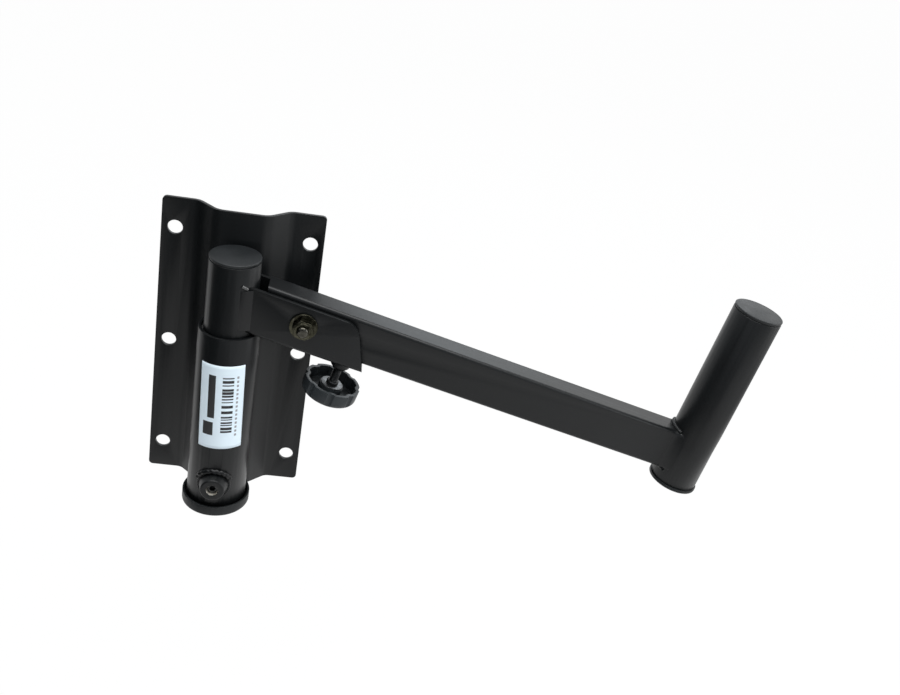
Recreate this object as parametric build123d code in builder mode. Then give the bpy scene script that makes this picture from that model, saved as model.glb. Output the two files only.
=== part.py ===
from build123d import *
import os
from math import cos, radians, sin, sqrt, tan

os.makedirs("parts", exist_ok=True)

# Speaker wall bracket, in millimetres.
# The wall is the plane Y = 0 and the bracket stands out from it towards -Y.
# The origin is the middle of the six wall holes, +Z is up, and the arm points to +X.

# Wall plate: pressed sheet with a raised centre
plate_width = 112.0
plate_height = 220.0
plate_sheet = 2.5
plate_corner = 3.0
hat_depth = 13.5
hat_top_width = 34.0
hat_foot_width = 62.0
hat_bend = 10.0
wall_hole_diameter = 10.5
wall_hole_to_side = 9.5
wall_hole_to_end = 22.0

# Wall tube and what closes it
tube_diameter = 42.0
tube_wall = 2.0
tube_top_setback = 73.0
tube_foot_setback = 7.0
tube_stand_off = 3.5
tube_weld_length = 30.0
tube_weld_end_gap = 8.0
tube_weld_inset = 3.0
tube_weld_leg = 7.0
tube_weld_spread = 2.5
foot_cap_diameter = 48.0
foot_cap_wall = 1.6
foot_cap_floor = 2.5
foot_cap_rim_height = 8.0
foot_cap_plug_height = 5.0
foot_cap_plug_wall = 3.0
base_disc_thickness = 3.0
base_disc_recess = 6.0

# Post that turns in the wall tube
post_diameter = 35.0
post_wall = 2.0
post_above_tube = 53.0
running_clearance = 0.05
thrust_clearance = 0.1
bush_flange = 2.0
lower_bush_height = 9.0
lower_bush_opening = 24.0
upper_bush_height = 30.0
upper_bush_recess = 3.0

# Swivel lock: welded boss with a socket grub screw
boss_above_foot = 22.5
boss_face_diameter = 16.5
boss_base_diameter = 21.0
boss_projection = 6.5
boss_edge = 1.2
boss_weld_width = 1.6
boss_weld_height = 1.6
lock_thread = 8.0
lock_thread_clearance = 0.05
lock_bore_chamfer = 0.4
lock_screw_length = 7.0
lock_screw_gap = 0.1
lock_screw_point = 1.0
lock_socket_flats = 4.0
lock_socket_depth = 3.5
lock_hole_clearance = 0.5

# Sticker on the wall tube
label_width = 29.0
label_height = 66.2
label_thickness = 0.2
label_gap = 0.05
label_aside = 0.6
label_below_mouth = 53.0
label_turn = 1.4

# Clevis: bent channel that slopes down with the arm
arm_slope = 14.0
arm_above_tube = 27.0
clevis_sheet = 3.0
clevis_inner_width = 20.6
clevis_length = 100.8
clevis_top = 12.5
clevis_bottom = -21.0
clevis_front_slant = 24.0
clevis_front_radius = 14.0
clevis_bend = 3.0
clevis_inner_bend = 1.0
clevis_notch_end = 48.0
clevis_weld_on_post = 4.7
clevis_weld_on_ear = 3.5
clevis_weld_crown = 0.5
clevis_weld_inset = 1.5

# Pivot of the arm in the clevis
pivot_distance = 51.5
pivot_height = -1.2
bolt_diameter = 8.0
bolt_hole_clearance = 0.2
bolt_head_flats = 13.0
bolt_head_height = 5.3
bolt_end_length = 2.5
bolt_end_round = 1.8
washer_diameter = 19.0
washer_thickness = 1.6
nut_flats = 13.0
nut_height = 6.5
nut_crown_height = 1.4
nut_crown_diameter = 11.5
hex_corner_chamfer = 0.9
sleeve_diameter = 12.0
sleeve_bore_clearance = 0.1
sleeve_end_clearance = 0.1

# Arm: rectangular tube
arm_width = 20.0
arm_depth = 32.0
arm_wall = 2.0
arm_corner = 2.5
arm_length = 350.0
arm_inner_end = 20.5

# Speaker pin: round tube across the arm's outer end
pin_diameter = 35.0
pin_wall = 2.0
pin_above_arm_axis = 121.0
pin_below_arm_axis = 27.0
pin_lean = 4.0
pin_seat_height = 21.5
pin_root_relief = 0.3
pin_weld_size = 2.4
pin_weld_wrap = 1.0

# Plastic end caps of the round tubes
cap_rim_height = 2.5
cap_edge = 0.8
cap_plug_length = 11.0
cap_plug_wall = 2.0
cap_plug_clearance = 0.1
bottom_cap_lip = 0.6

# Tilt screw and its knob, square to the clevis floor
screw_distance = 86.5
screw_diameter = 6.0
screw_tip_gap = 0.05
screw_tip_round = 2.9
screw_boss_diameter = 14.0
screw_boss_end_diameter = 8.0
screw_boss_straight = 5.5
screw_boss_height = 9.0
screw_thread_clearance = 0.05
screw_collar_diameter = 8.6
screw_collar_height = 2.5
screw_floor_clearance = 0.5
knob_rim_depth = 40.5
knob_height = 11.0
knob_diameter = 40.0
knob_wall = 2.2
knob_notches = 8
knob_notch_radius = 3.2
knob_notch_depth = 1.3
knob_base_round = 3.5
knob_floor = 2.5
knob_hub_diameter = 17.0
knob_hub_recess = 3.2
insert_flange_diameter = 16.0
insert_flange_thickness = 1.2
insert_spigot_diameter = 10.0
insert_blind_end = 1.0

# Places that follow from the sizes above
raised_face = plate_sheet + hat_depth
tube_top = plate_height / 2 - tube_top_setback
tube_bottom = tube_foot_setback - plate_height / 2
tube_radius = tube_diameter / 2
tube_bore = tube_radius - tube_wall
tube_y = -(raised_face + tube_stand_off + tube_radius)
post_radius = post_diameter / 2
post_top = tube_top + post_above_tube - cap_rim_height
boss_height = tube_bottom + boss_above_foot
disc_bottom = tube_bottom + base_disc_recess
disc_top = disc_bottom + base_disc_thickness
post_bottom = disc_top + bush_flange + thrust_clearance
slope = radians(arm_slope)
arm_direction = Vector(cos(slope), 0, -sin(slope))
arm_up = Vector(sin(slope), 0, cos(slope))
arm_start = Vector(0, tube_y, tube_top + arm_above_tube)
lean = radians(pin_lean)
pin_direction = arm_up * cos(lean) - arm_direction * sin(lean)
pin_centre = arm_start + arm_direction * arm_length
pin_radius = pin_diameter / 2
pin_root_radius = pin_radius - pin_root_relief
clevis_outer_width = clevis_inner_width + 2 * clevis_sheet
clevis_floor_top = clevis_bottom + clevis_sheet
screw_tip = -arm_depth / 2 - screw_tip_gap
insert_top = -(knob_rim_depth + knob_hub_recess) + insert_flange_thickness

# Planes: across the tubes, through the middle of the arm, and across the arm and the pin
front_view = Plane.XZ.offset(-tube_y)
arm_side = Plane(origin=arm_start, x_dir=arm_direction, z_dir=(0, -1, 0))
arm_section = Plane(origin=arm_start, x_dir=(0, 1, 0), z_dir=arm_direction)
pivot_side = Plane(
    origin=arm_start + arm_direction * pivot_distance + arm_up * pivot_height,
    x_dir=arm_direction,
    z_dir=(0, -1, 0),
)
pin_section = Plane(origin=pin_centre, x_dir=(0, 1, 0), z_dir=pin_direction)
screw_foot = arm_start + arm_direction * screw_distance
screw_section = Plane(origin=screw_foot, x_dir=(0, 1, 0), z_dir=arm_up)
screw_axis = Axis(screw_foot, arm_up)


# Wall plate
with BuildPart() as wall_plate:
    with BuildSketch(Plane.XY.offset(-plate_height / 2)):
        with BuildLine():
            FilletPolyline(
                (-plate_width / 2, 0),
                (-hat_foot_width / 2, 0),
                (-hat_top_width / 2, -hat_depth),
                (hat_top_width / 2, -hat_depth),
                (hat_foot_width / 2, 0),
                (plate_width / 2, 0),
                radius=hat_bend,
            )
            offset(amount=plate_sheet, side=Side.RIGHT)
        make_face()
    extrude(amount=plate_height)
    corners = wall_plate.edges().filter_by(Axis.Y).filter_by(GeomType.LINE)
    fillet(corners.group_by(Axis.X)[0] + corners.group_by(Axis.X)[-1], radius=plate_corner)
    with BuildSketch(Plane.XZ):
        hole_spacing_x = plate_width - 2 * wall_hole_to_side
        hole_spacing_z = plate_height / 2 - wall_hole_to_end
        with GridLocations(hole_spacing_x, hole_spacing_z, 2, 3):
            Circle(wall_hole_diameter / 2)
    extrude(amount=raised_face, mode=Mode.SUBTRACT)
wall_plate.part.label = "wall_plate"
export_step(wall_plate.part, "parts/wall_plate.step")


# Wall tube, with the hole through which the grub screw reaches the post
with BuildPart() as wall_tube:
    with BuildSketch(Plane.XY.offset(tube_bottom)):
        with Locations((0, tube_y)):
            Circle(tube_radius)
            Circle(tube_bore, mode=Mode.SUBTRACT)
    extrude(amount=tube_top - tube_bottom)
    with BuildSketch(front_view):
        with Locations((0, boss_height)):
            Circle(lock_thread / 2 + lock_hole_clearance)
    extrude(amount=tube_diameter, mode=Mode.SUBTRACT)
wall_tube.part.label = "wall_tube"
export_step(wall_tube.part, "parts/wall_tube.step")


# Four weld beads that carry the wall tube just clear of the plate's raised centre
with BuildPart() as tube_welds:
    weld_on_tube = tube_weld_inset + tube_weld_leg
    weld_on_plate = weld_on_tube + tube_weld_spread
    weld_on_tube_y = tube_y + sqrt(tube_radius**2 - weld_on_tube**2)
    lower_bead = tube_bottom + tube_weld_end_gap
    upper_bead = tube_top - tube_weld_end_gap - tube_weld_length
    for bead_bottom in (lower_bead, upper_bead):
        with BuildSketch(Plane.XY.offset(bead_bottom)):
            with BuildLine():
                Polyline(
                    (tube_weld_inset, -raised_face),
                    (weld_on_plate, -raised_face),
                    (weld_on_tube, weld_on_tube_y),
                    (tube_weld_inset, weld_on_tube_y),
                    close=True,
                )
            make_face()
            with Locations((0, tube_y)):
                Circle(tube_radius, mode=Mode.SUBTRACT)
            mirror(about=Plane.YZ)
        extrude(amount=tube_weld_length)
tube_welds.part.label = "tube_welds"
export_step(tube_welds.part, "parts/tube_welds.step")


# Steel disc welded inside the foot of the wall tube
with BuildPart() as base_disc:
    with BuildSketch(Plane.XY.offset(disc_bottom)):
        with Locations((0, tube_y)):
            Circle(tube_bore)
    extrude(amount=base_disc_thickness)
base_disc.part.label = "base_disc"
export_step(base_disc.part, "parts/base_disc.step")


# Plastic cap on the foot of the wall tube: a wide cup with a plug inside
with BuildPart() as foot_cap:
    cup_radius = foot_cap_diameter / 2
    with BuildSketch(Plane.XY.offset(tube_bottom - foot_cap_floor)):
        with Locations((0, tube_y)):
            Circle(cup_radius)
    extrude(amount=foot_cap_rim_height)
    fillet(foot_cap.edges().group_by(Axis.Z)[0], radius=foot_cap_wall)
    with BuildSketch(Plane.XY.offset(tube_bottom)):
        with Locations((0, tube_y)):
            Circle(cup_radius - foot_cap_wall)
    extrude(amount=foot_cap_rim_height, mode=Mode.SUBTRACT)
    with BuildSketch(Plane.XY.offset(tube_bottom)):
        with Locations((0, tube_y)):
            Circle(tube_bore - cap_plug_clearance)
            Circle(tube_bore - foot_cap_plug_wall, mode=Mode.SUBTRACT)
    extrude(amount=foot_cap_plug_height)
foot_cap.part.label = "foot_cap"
export_step(foot_cap.part, "parts/foot_cap.step")


# Lower bush: a sleeve with a flange that carries the foot of the post
with BuildPart() as lower_bush:
    with BuildSketch(Plane.XY.offset(disc_top)):
        with Locations((0, tube_y)):
            Circle(tube_bore)
            Circle(lower_bush_opening / 2, mode=Mode.SUBTRACT)
    extrude(amount=bush_flange)
    with BuildSketch(Plane.XY.offset(disc_top + bush_flange)):
        with Locations((0, tube_y)):
            Circle(tube_bore)
            Circle(post_radius + running_clearance, mode=Mode.SUBTRACT)
    extrude(amount=lower_bush_height - bush_flange)
lower_bush.part.label = "lower_bush"
export_step(lower_bush.part, "parts/lower_bush.step")


# Upper bush, set back a little from the rim of the wall tube
with BuildPart() as upper_bush:
    with BuildSketch(Plane.XY.offset(tube_top - upper_bush_recess - upper_bush_height)):
        with Locations((0, tube_y)):
            Circle(tube_bore)
            Circle(post_radius + running_clearance, mode=Mode.SUBTRACT)
    extrude(amount=upper_bush_height)
upper_bush.part.label = "upper_bush"
export_step(upper_bush.part, "parts/upper_bush.step")


# Lock boss: a turned cone on the tube's front, threaded for the grub screw
with BuildPart() as lock_boss:
    with BuildSketch(front_view.offset(tube_bore)):
        with Locations((0, boss_height)):
            Circle(boss_base_diameter / 2)
    with BuildSketch(front_view.offset(tube_radius + boss_projection)):
        with Locations((0, boss_height)):
            Circle(boss_face_diameter / 2)
    loft()
    fillet(lock_boss.edges().group_by(Axis.Y)[0], radius=boss_edge)
    with BuildSketch(front_view):
        with Locations((0, boss_height)):
            Circle(lock_thread / 2 + lock_thread_clearance)
    extrude(amount=tube_diameter, mode=Mode.SUBTRACT)
    chamfer(lock_boss.edges().group_by(Axis.Y)[0].sort_by(SortBy.LENGTH)[0], length=lock_bore_chamfer)
    with BuildSketch(Plane.XY.offset(tube_bottom)):
        with Locations((0, tube_y)):
            Circle(tube_radius)
    extrude(amount=tube_top - tube_bottom, mode=Mode.SUBTRACT)
lock_boss.part.label = "lock_boss"
export_step(lock_boss.part, "parts/lock_boss.step")


# Weld bead round the foot of the lock boss
with BuildPart() as boss_weld:
    with BuildSketch(Plane.XY.offset(tube_bottom)):
        with Locations((0, tube_y)):
            Circle(tube_radius + boss_weld_height)
            Circle(tube_radius, mode=Mode.SUBTRACT)
    extrude(amount=tube_top - tube_bottom)
    with BuildSketch(front_view):
        with Locations((0, boss_height)):
            Circle(boss_base_diameter / 2 + boss_weld_width)
    extrude(amount=tube_diameter, mode=Mode.INTERSECT)
    add(lock_boss.part, mode=Mode.SUBTRACT)
    with BuildSketch(front_view):
        with Locations((0, boss_height)):
            Circle(boss_face_diameter / 2)
    extrude(amount=tube_diameter, mode=Mode.SUBTRACT)
boss_weld.part.label = "boss_weld"
export_step(boss_weld.part, "parts/boss_weld.step")


# Grub screw with a hexagon socket and a pointed inner end
with BuildPart() as lock_screw:
    screw_inner_end = post_radius + lock_screw_gap
    with BuildSketch(front_view.offset(screw_inner_end)):
        with Locations((0, boss_height)):
            Circle(lock_thread / 2)
    extrude(amount=lock_screw_length)
    chamfer(lock_screw.edges().group_by(Axis.Y)[-1], length=lock_screw_point)
    with BuildSketch(front_view.offset(screw_inner_end + lock_screw_length - lock_socket_depth)):
        with Locations((0, boss_height)):
            RegularPolygon(lock_socket_flats / 2, 6, major_radius=False)
    extrude(amount=lock_socket_depth, mode=Mode.SUBTRACT)
lock_screw.part.label = "lock_screw"
export_step(lock_screw.part, "parts/lock_screw.step")


# Sticker, wrapped round the front of the wall tube
with BuildPart() as label:
    with BuildSketch(Plane.XY.offset(tube_bottom)):
        with Locations((0, tube_y)):
            Circle(tube_radius + label_gap + label_thickness)
            Circle(tube_radius + label_gap, mode=Mode.SUBTRACT)
    extrude(amount=tube_top - tube_bottom)
    with BuildSketch(front_view):
        with Locations((label_aside, tube_top - label_below_mouth)):
            Rectangle(label_width, label_height, rotation=label_turn)
    extrude(amount=tube_diameter, mode=Mode.INTERSECT)
label.part.label = "label"
export_step(label.part, "parts/label.step")


# Post that turns in the wall tube
with BuildPart() as swivel_post:
    with BuildSketch(Plane.XY.offset(post_bottom)):
        with Locations((0, tube_y)):
            Circle(post_radius)
            Circle(post_radius - post_wall, mode=Mode.SUBTRACT)
    extrude(amount=post_top - post_bottom)
swivel_post.part.label = "swivel_post"
export_step(swivel_post.part, "parts/swivel_post.step")


def end_cap(seat, tube_outside, tube_inside, lip):
    """Plastic cap on the tube end at the plane seat: a flat head with a hollow plug."""
    with BuildPart() as cap:
        with BuildSketch(seat):
            Circle(tube_outside + lip)
        extrude(amount=cap_rim_height)
        outer_edge = cap.edges().filter_by(GeomType.CIRCLE).sort_by(Axis(seat.origin, seat.z_dir))[-1]
        fillet(outer_edge, radius=cap_edge)
        with BuildSketch(seat):
            Circle(tube_inside - cap_plug_clearance)
            Circle(tube_inside - cap_plug_wall, mode=Mode.SUBTRACT)
        extrude(amount=-cap_plug_length)
    return cap


# Cap on the post
post_cap = end_cap(Plane((0, tube_y, post_top)), post_radius, post_radius - post_wall, 0)
post_cap.part.label = "post_cap"
export_step(post_cap.part, "parts/post_cap.step")


# Clevis: ears and floor bent from one sheet, with the floor cut away under the arm's heel
with BuildPart() as clevis:
    front_top = clevis_length - (clevis_top - clevis_bottom) * tan(radians(clevis_front_slant))
    with BuildSketch(arm_side) as ear_outline:
        with BuildLine():
            Polyline(
                (0, clevis_bottom),
                (clevis_length, clevis_bottom),
                (front_top, clevis_top),
                (0, clevis_top),
                close=True,
            )
        make_face()
        top_front_corner = ear_outline.vertices().group_by(Axis.Y)[-1].sort_by(Axis.X)[-1]
        fillet(top_front_corner, radius=clevis_front_radius)
    extrude(amount=clevis_outer_width / 2, both=True)
    long_edges = clevis.edges().filter_by(Axis(arm_start, arm_direction))
    fillet(long_edges.group_by(Axis(arm_start, arm_up))[0], radius=clevis_bend)
    channel_height = 2 * (clevis_top - clevis_bottom)
    with BuildSketch(arm_section):
        with Locations((0, clevis_floor_top + channel_height / 2)):
            RectangleRounded(clevis_inner_width, channel_height, clevis_inner_bend)
    extrude(amount=clevis_length, mode=Mode.SUBTRACT)
    with BuildSketch(arm_side):
        with Locations((clevis_notch_end / 2, clevis_floor_top - clevis_sheet / 2)):
            Rectangle(clevis_notch_end, 2 * clevis_sheet)
    extrude(amount=clevis_inner_width / 2, both=True, mode=Mode.SUBTRACT)
    with BuildSketch(Plane.XY):
        with Locations((0, tube_y)):
            Circle(post_radius)
    extrude(amount=post_top, mode=Mode.SUBTRACT)
    with BuildSketch(pivot_side):
        Circle(bolt_diameter / 2 + bolt_hole_clearance)
    extrude(amount=clevis_outer_width, both=True, mode=Mode.SUBTRACT)
    with BuildSketch(screw_section):
        Circle(screw_diameter / 2 + screw_floor_clearance)
    extrude(amount=2 * clevis_bottom, mode=Mode.SUBTRACT)
clevis.part.label = "clevis"
export_step(clevis.part, "parts/clevis.step")


# Weld beads where the two ears meet the post
with BuildPart() as clevis_welds:
    ear_face = clevis_outer_width / 2
    ear_meets_post = sqrt(post_radius**2 - ear_face**2)
    ear_rear_bottom = arm_start + arm_direction * ear_meets_post + arm_up * clevis_bottom
    ear_rear_top = arm_start + arm_direction * ear_meets_post + arm_up * clevis_top
    toe_on_post = ear_meets_post - clevis_weld_on_post
    weld_on_post = Vector(toe_on_post, -sqrt(post_radius**2 - toe_on_post**2))
    weld_on_ear = Vector(ear_meets_post + clevis_weld_on_ear, -ear_face)
    weld_crown = (weld_on_post + weld_on_ear) / 2 + Vector(0, -clevis_weld_crown)
    with BuildSketch(Plane((0, tube_y, ear_rear_bottom.Z + clevis_weld_inset))):
        with BuildLine():
            ThreePointArc(weld_on_post, weld_crown, weld_on_ear)
            Polyline(weld_on_ear, (ear_meets_post, -ear_face), weld_on_post)
        make_face()
        mirror(about=Plane.XZ)
        Circle(post_radius, mode=Mode.SUBTRACT)
    extrude(amount=ear_rear_top.Z - ear_rear_bottom.Z - 2 * clevis_weld_inset)
    add(clevis.part, mode=Mode.SUBTRACT)
clevis_welds.part.label = "clevis_welds"
export_step(clevis_welds.part, "parts/clevis_welds.step")


# Threaded boss welded under the clevis floor for the tilt screw
with BuildPart() as screw_boss:
    with BuildSketch(screw_section.offset(clevis_bottom)):
        Circle(screw_boss_diameter / 2)
    extrude(amount=-screw_boss_straight)
    with BuildSketch(screw_section.offset(clevis_bottom - screw_boss_straight)):
        Circle(screw_boss_diameter / 2)
    with BuildSketch(screw_section.offset(clevis_bottom - screw_boss_height)):
        Circle(screw_boss_end_diameter / 2)
    loft()
    with BuildSketch(screw_section):
        Circle(screw_diameter / 2 + screw_thread_clearance)
    extrude(amount=2 * clevis_bottom, mode=Mode.SUBTRACT)
screw_boss.part.label = "screw_boss"
export_step(screw_boss.part, "parts/screw_boss.step")


def hexagon_block(seat, flats, height):
    """Hexagonal block on the plane seat, its outer corners turned down as on a nut."""
    with BuildPart() as block:
        with BuildSketch(seat):
            Circle(flats / sqrt(3))
        extrude(amount=height)
        outer_edge = block.edges().sort_by(Axis(seat.origin, seat.z_dir))[-1]
        chamfer(outer_edge, length=hex_corner_chamfer / 2, length2=hex_corner_chamfer)
        with BuildSketch(seat):
            RegularPolygon(flats / 2, 6, major_radius=False)
        extrude(amount=height, mode=Mode.INTERSECT)
    return block


# Pivot bolt: head on the wall side, rounded end on the front
far_seat = Plane(
    origin=pivot_side.origin - pivot_side.z_dir * (clevis_outer_width / 2 + washer_thickness),
    x_dir=arm_direction,
    z_dir=-pivot_side.z_dir,
)
near_seat = pivot_side.offset(clevis_outer_width / 2 + washer_thickness)
with BuildPart() as pivot_bolt:
    add(hexagon_block(far_seat, bolt_head_flats, bolt_head_height).part)
    with BuildSketch(far_seat):
        Circle(bolt_diameter / 2)
    grip = clevis_outer_width + 2 * washer_thickness + nut_height
    extrude(amount=-(grip + bolt_end_length))
    fillet(pivot_bolt.edges().group_by(Axis.Y)[0], radius=bolt_end_round)
pivot_bolt.part.label = "pivot_bolt"
export_step(pivot_bolt.part, "parts/pivot_bolt.step")


# Plain washers outside the two ears
with BuildPart() as pivot_washers:
    for washer_face in (clevis_outer_width / 2, -clevis_outer_width / 2 - washer_thickness):
        with BuildSketch(pivot_side.offset(washer_face)):
            Circle(washer_diameter / 2)
            Circle(bolt_diameter / 2 + bolt_hole_clearance, mode=Mode.SUBTRACT)
        extrude(amount=washer_thickness)
pivot_washers.part.label = "pivot_washers"
export_step(pivot_washers.part, "parts/pivot_washers.step")


# Lock nut on the front, with a round crown
with BuildPart() as pivot_nut:
    add(hexagon_block(near_seat, nut_flats, nut_height - nut_crown_height).part)
    with BuildSketch(near_seat):
        Circle(nut_crown_diameter / 2)
    extrude(amount=nut_height)
    with BuildSketch(near_seat):
        Circle(bolt_diameter / 2)
    extrude(amount=nut_height, mode=Mode.SUBTRACT)
pivot_nut.part.label = "pivot_nut"
export_step(pivot_nut.part, "parts/pivot_nut.step")


# Arm: cut parallel with the post at its inner end and round the pin at its outer end
with BuildPart() as arm_tube:
    with BuildSketch(arm_section):
        RectangleRounded(arm_width, arm_depth, arm_corner)
        RectangleRounded(
            arm_width - 2 * arm_wall,
            arm_depth - 2 * arm_wall,
            arm_corner - arm_wall,
            mode=Mode.SUBTRACT,
        )
    extrude(amount=arm_length)
    inner_top_corner = arm_start + arm_direction * arm_inner_end + arm_up * (arm_depth / 2)
    split(bisect_by=Plane(origin=inner_top_corner, z_dir=(1, 0, 0)), keep=Keep.TOP)
    with BuildSketch(pin_section):
        Circle(pin_root_radius)
    extrude(amount=arm_depth, both=True, mode=Mode.SUBTRACT)
    with BuildSketch(pivot_side):
        Circle(sleeve_diameter / 2)
    extrude(amount=arm_width, both=True, mode=Mode.SUBTRACT)
arm_tube.part.label = "arm_tube"
export_step(arm_tube.part, "parts/arm_tube.step")


# Sleeve through the arm, on which the arm turns and against which the ears are clamped
with BuildPart() as pivot_sleeve:
    with BuildSketch(pivot_side):
        Circle(sleeve_diameter / 2)
        Circle(bolt_diameter / 2 + sleeve_bore_clearance, mode=Mode.SUBTRACT)
    extrude(amount=clevis_inner_width / 2 - sleeve_end_clearance, both=True)
pivot_sleeve.part.label = "pivot_sleeve"
export_step(pivot_sleeve.part, "parts/pivot_sleeve.step")


# Speaker pin across the outer end of the arm, a little slimmer below the speaker's seat
with BuildPart() as speaker_pin:
    with BuildSketch(pin_section.offset(cap_rim_height - pin_below_arm_axis)):
        Circle(pin_root_radius)
        Circle(pin_radius - pin_wall, mode=Mode.SUBTRACT)
    extrude(amount=pin_below_arm_axis - cap_rim_height + pin_seat_height)
    with BuildSketch(pin_section.offset(pin_seat_height)):
        Circle(pin_radius)
        Circle(pin_radius - pin_wall, mode=Mode.SUBTRACT)
    extrude(amount=pin_above_arm_axis - cap_rim_height - pin_seat_height)
speaker_pin.part.label = "speaker_pin"
export_step(speaker_pin.part, "parts/speaker_pin.step")


# Weld beads across the top and the bottom of the arm where it meets the pin
with BuildPart() as pin_welds:
    with BuildSketch(arm_section.offset(arm_length - pin_diameter)):
        RectangleRounded(
            arm_width + 2 * pin_weld_size,
            arm_depth + 2 * pin_weld_size,
            arm_corner + pin_weld_size,
        )
    extrude(amount=pin_diameter)
    with BuildSketch(pin_section):
        Circle(pin_root_radius + pin_weld_size)
    extrude(amount=arm_depth, both=True, mode=Mode.INTERSECT)
    with BuildSketch(pin_section):
        Circle(pin_root_radius)
    extrude(amount=arm_depth, both=True, mode=Mode.SUBTRACT)
    with BuildSketch(arm_section):
        RectangleRounded(arm_width, arm_depth, arm_corner)
        Rectangle(2 * arm_width, arm_depth - 2 * pin_weld_wrap)
    extrude(amount=arm_length, mode=Mode.SUBTRACT)
pin_welds.part.label = "pin_welds"
export_step(pin_welds.part, "parts/pin_welds.step")


# Caps on the two ends of the pin
pin_top_seat = pin_section.offset(pin_above_arm_axis - cap_rim_height)
pin_top_cap = end_cap(pin_top_seat, pin_radius, pin_radius - pin_wall, 0)
pin_top_cap.part.label = "pin_top_cap"
export_step(pin_top_cap.part, "parts/pin_top_cap.step")

pin_bottom_seat = Plane(
    origin=pin_centre - pin_direction * (pin_below_arm_axis - cap_rim_height),
    x_dir=(0, 1, 0),
    z_dir=-pin_direction,
)
pin_bottom_cap = end_cap(pin_bottom_seat, pin_radius, pin_radius - pin_wall, bottom_cap_lip)
pin_bottom_cap.part.label = "pin_bottom_cap"
export_step(pin_bottom_cap.part, "parts/pin_bottom_cap.step")


# Tilt screw: rod with a domed tip under the arm and a collar above the knob
knob_bottom = -(knob_rim_depth + knob_height)
knob_floor_top = knob_bottom + knob_floor
screw_end = knob_floor_top + insert_blind_end
with BuildPart() as tilt_screw:
    with BuildSketch(screw_section.offset(screw_end)):
        Circle(screw_diameter / 2)
    extrude(amount=screw_tip - screw_end)
    fillet(tilt_screw.edges().sort_by(screw_axis)[-1], radius=screw_tip_round)
    with BuildSketch(screw_section.offset(insert_top)):
        Circle(screw_collar_diameter / 2)
    extrude(amount=screw_collar_height)
tilt_screw.part.label = "tilt_screw"
export_step(tilt_screw.part, "parts/tilt_screw.step")


# Metal insert in the knob's hub
with BuildPart() as knob_insert:
    with BuildSketch(screw_section.offset(insert_top)):
        Circle(insert_flange_diameter / 2)
    extrude(amount=-insert_flange_thickness)
    with BuildSketch(screw_section.offset(knob_floor_top)):
        Circle(insert_spigot_diameter / 2)
    extrude(amount=insert_top - insert_flange_thickness - knob_floor_top)
    with BuildSketch(screw_section.offset(insert_top)):
        Circle(screw_diameter / 2 + screw_thread_clearance)
    extrude(amount=screw_end - thrust_clearance - insert_top, mode=Mode.SUBTRACT)
knob_insert.part.label = "knob_insert"
export_step(knob_insert.part, "parts/knob_insert.step")


# Tilt knob: round cup with notches for the fingers, open upwards, with a hub round the insert
with BuildPart() as tilt_knob:
    notch_centre = knob_diameter / 2 - knob_notch_depth + knob_notch_radius
    with BuildSketch(screw_section.offset(knob_bottom)):
        Circle(knob_diameter / 2)
    extrude(amount=knob_height)
    fillet(tilt_knob.edges().group_by(screw_axis)[0], radius=knob_base_round)
    with BuildSketch(screw_section.offset(knob_bottom)):
        with PolarLocations(notch_centre, knob_notches):
            Circle(knob_notch_radius)
    extrude(amount=knob_height, mode=Mode.SUBTRACT)
    with BuildSketch(screw_section.offset(knob_floor_top)):
        Circle(knob_diameter / 2 - knob_wall)
        with PolarLocations(notch_centre, knob_notches):
            Circle(knob_notch_radius + knob_wall, mode=Mode.SUBTRACT)
    extrude(amount=knob_height, mode=Mode.SUBTRACT)
    with BuildSketch(screw_section.offset(knob_floor_top)):
        Circle(knob_hub_diameter / 2)
        Circle(insert_spigot_diameter / 2, mode=Mode.SUBTRACT)
    extrude(amount=insert_top - insert_flange_thickness - knob_floor_top)
tilt_knob.part.label = "tilt_knob"
export_step(tilt_knob.part, "parts/tilt_knob.step")
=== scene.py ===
import logging
import math
from dataclasses import dataclass
from enum import Enum
from functools import cache
from typing import Any, Callable, Optional, Sequence, Union

import bmesh
import bpy
from mathutils import Matrix, Vector


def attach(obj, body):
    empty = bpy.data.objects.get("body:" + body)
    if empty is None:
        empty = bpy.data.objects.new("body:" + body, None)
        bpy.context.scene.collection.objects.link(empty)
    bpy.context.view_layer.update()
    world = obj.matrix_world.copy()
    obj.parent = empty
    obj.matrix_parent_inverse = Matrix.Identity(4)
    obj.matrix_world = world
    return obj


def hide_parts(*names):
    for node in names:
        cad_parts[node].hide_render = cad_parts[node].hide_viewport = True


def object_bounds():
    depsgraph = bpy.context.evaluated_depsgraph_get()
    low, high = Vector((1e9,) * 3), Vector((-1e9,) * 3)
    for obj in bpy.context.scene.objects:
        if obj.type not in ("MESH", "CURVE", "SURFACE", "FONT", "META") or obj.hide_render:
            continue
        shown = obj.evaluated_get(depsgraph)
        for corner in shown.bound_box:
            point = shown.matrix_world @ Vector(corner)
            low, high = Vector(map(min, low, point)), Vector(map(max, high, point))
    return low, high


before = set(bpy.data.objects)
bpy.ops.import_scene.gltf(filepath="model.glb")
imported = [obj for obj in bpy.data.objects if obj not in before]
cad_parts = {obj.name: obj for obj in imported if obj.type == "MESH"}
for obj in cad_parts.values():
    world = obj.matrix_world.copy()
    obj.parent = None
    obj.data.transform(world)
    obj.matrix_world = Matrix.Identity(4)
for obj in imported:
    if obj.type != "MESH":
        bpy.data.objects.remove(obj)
CAD_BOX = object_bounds()

log = logging.getLogger("speaker_wall_bracket")

MM = 0.001
TURN = 2 * math.pi
UP = Vector((0, 0, 1))

MERGE_DISTANCE = 2e-6
RIM_MARGIN = 0.1 * MM
FLAT_ANGLE = math.radians(0.4)
SHARP_ANGLE = math.radians(28)
NOISE_LOW, NOISE_HIGH = 0.3, 0.7

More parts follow.
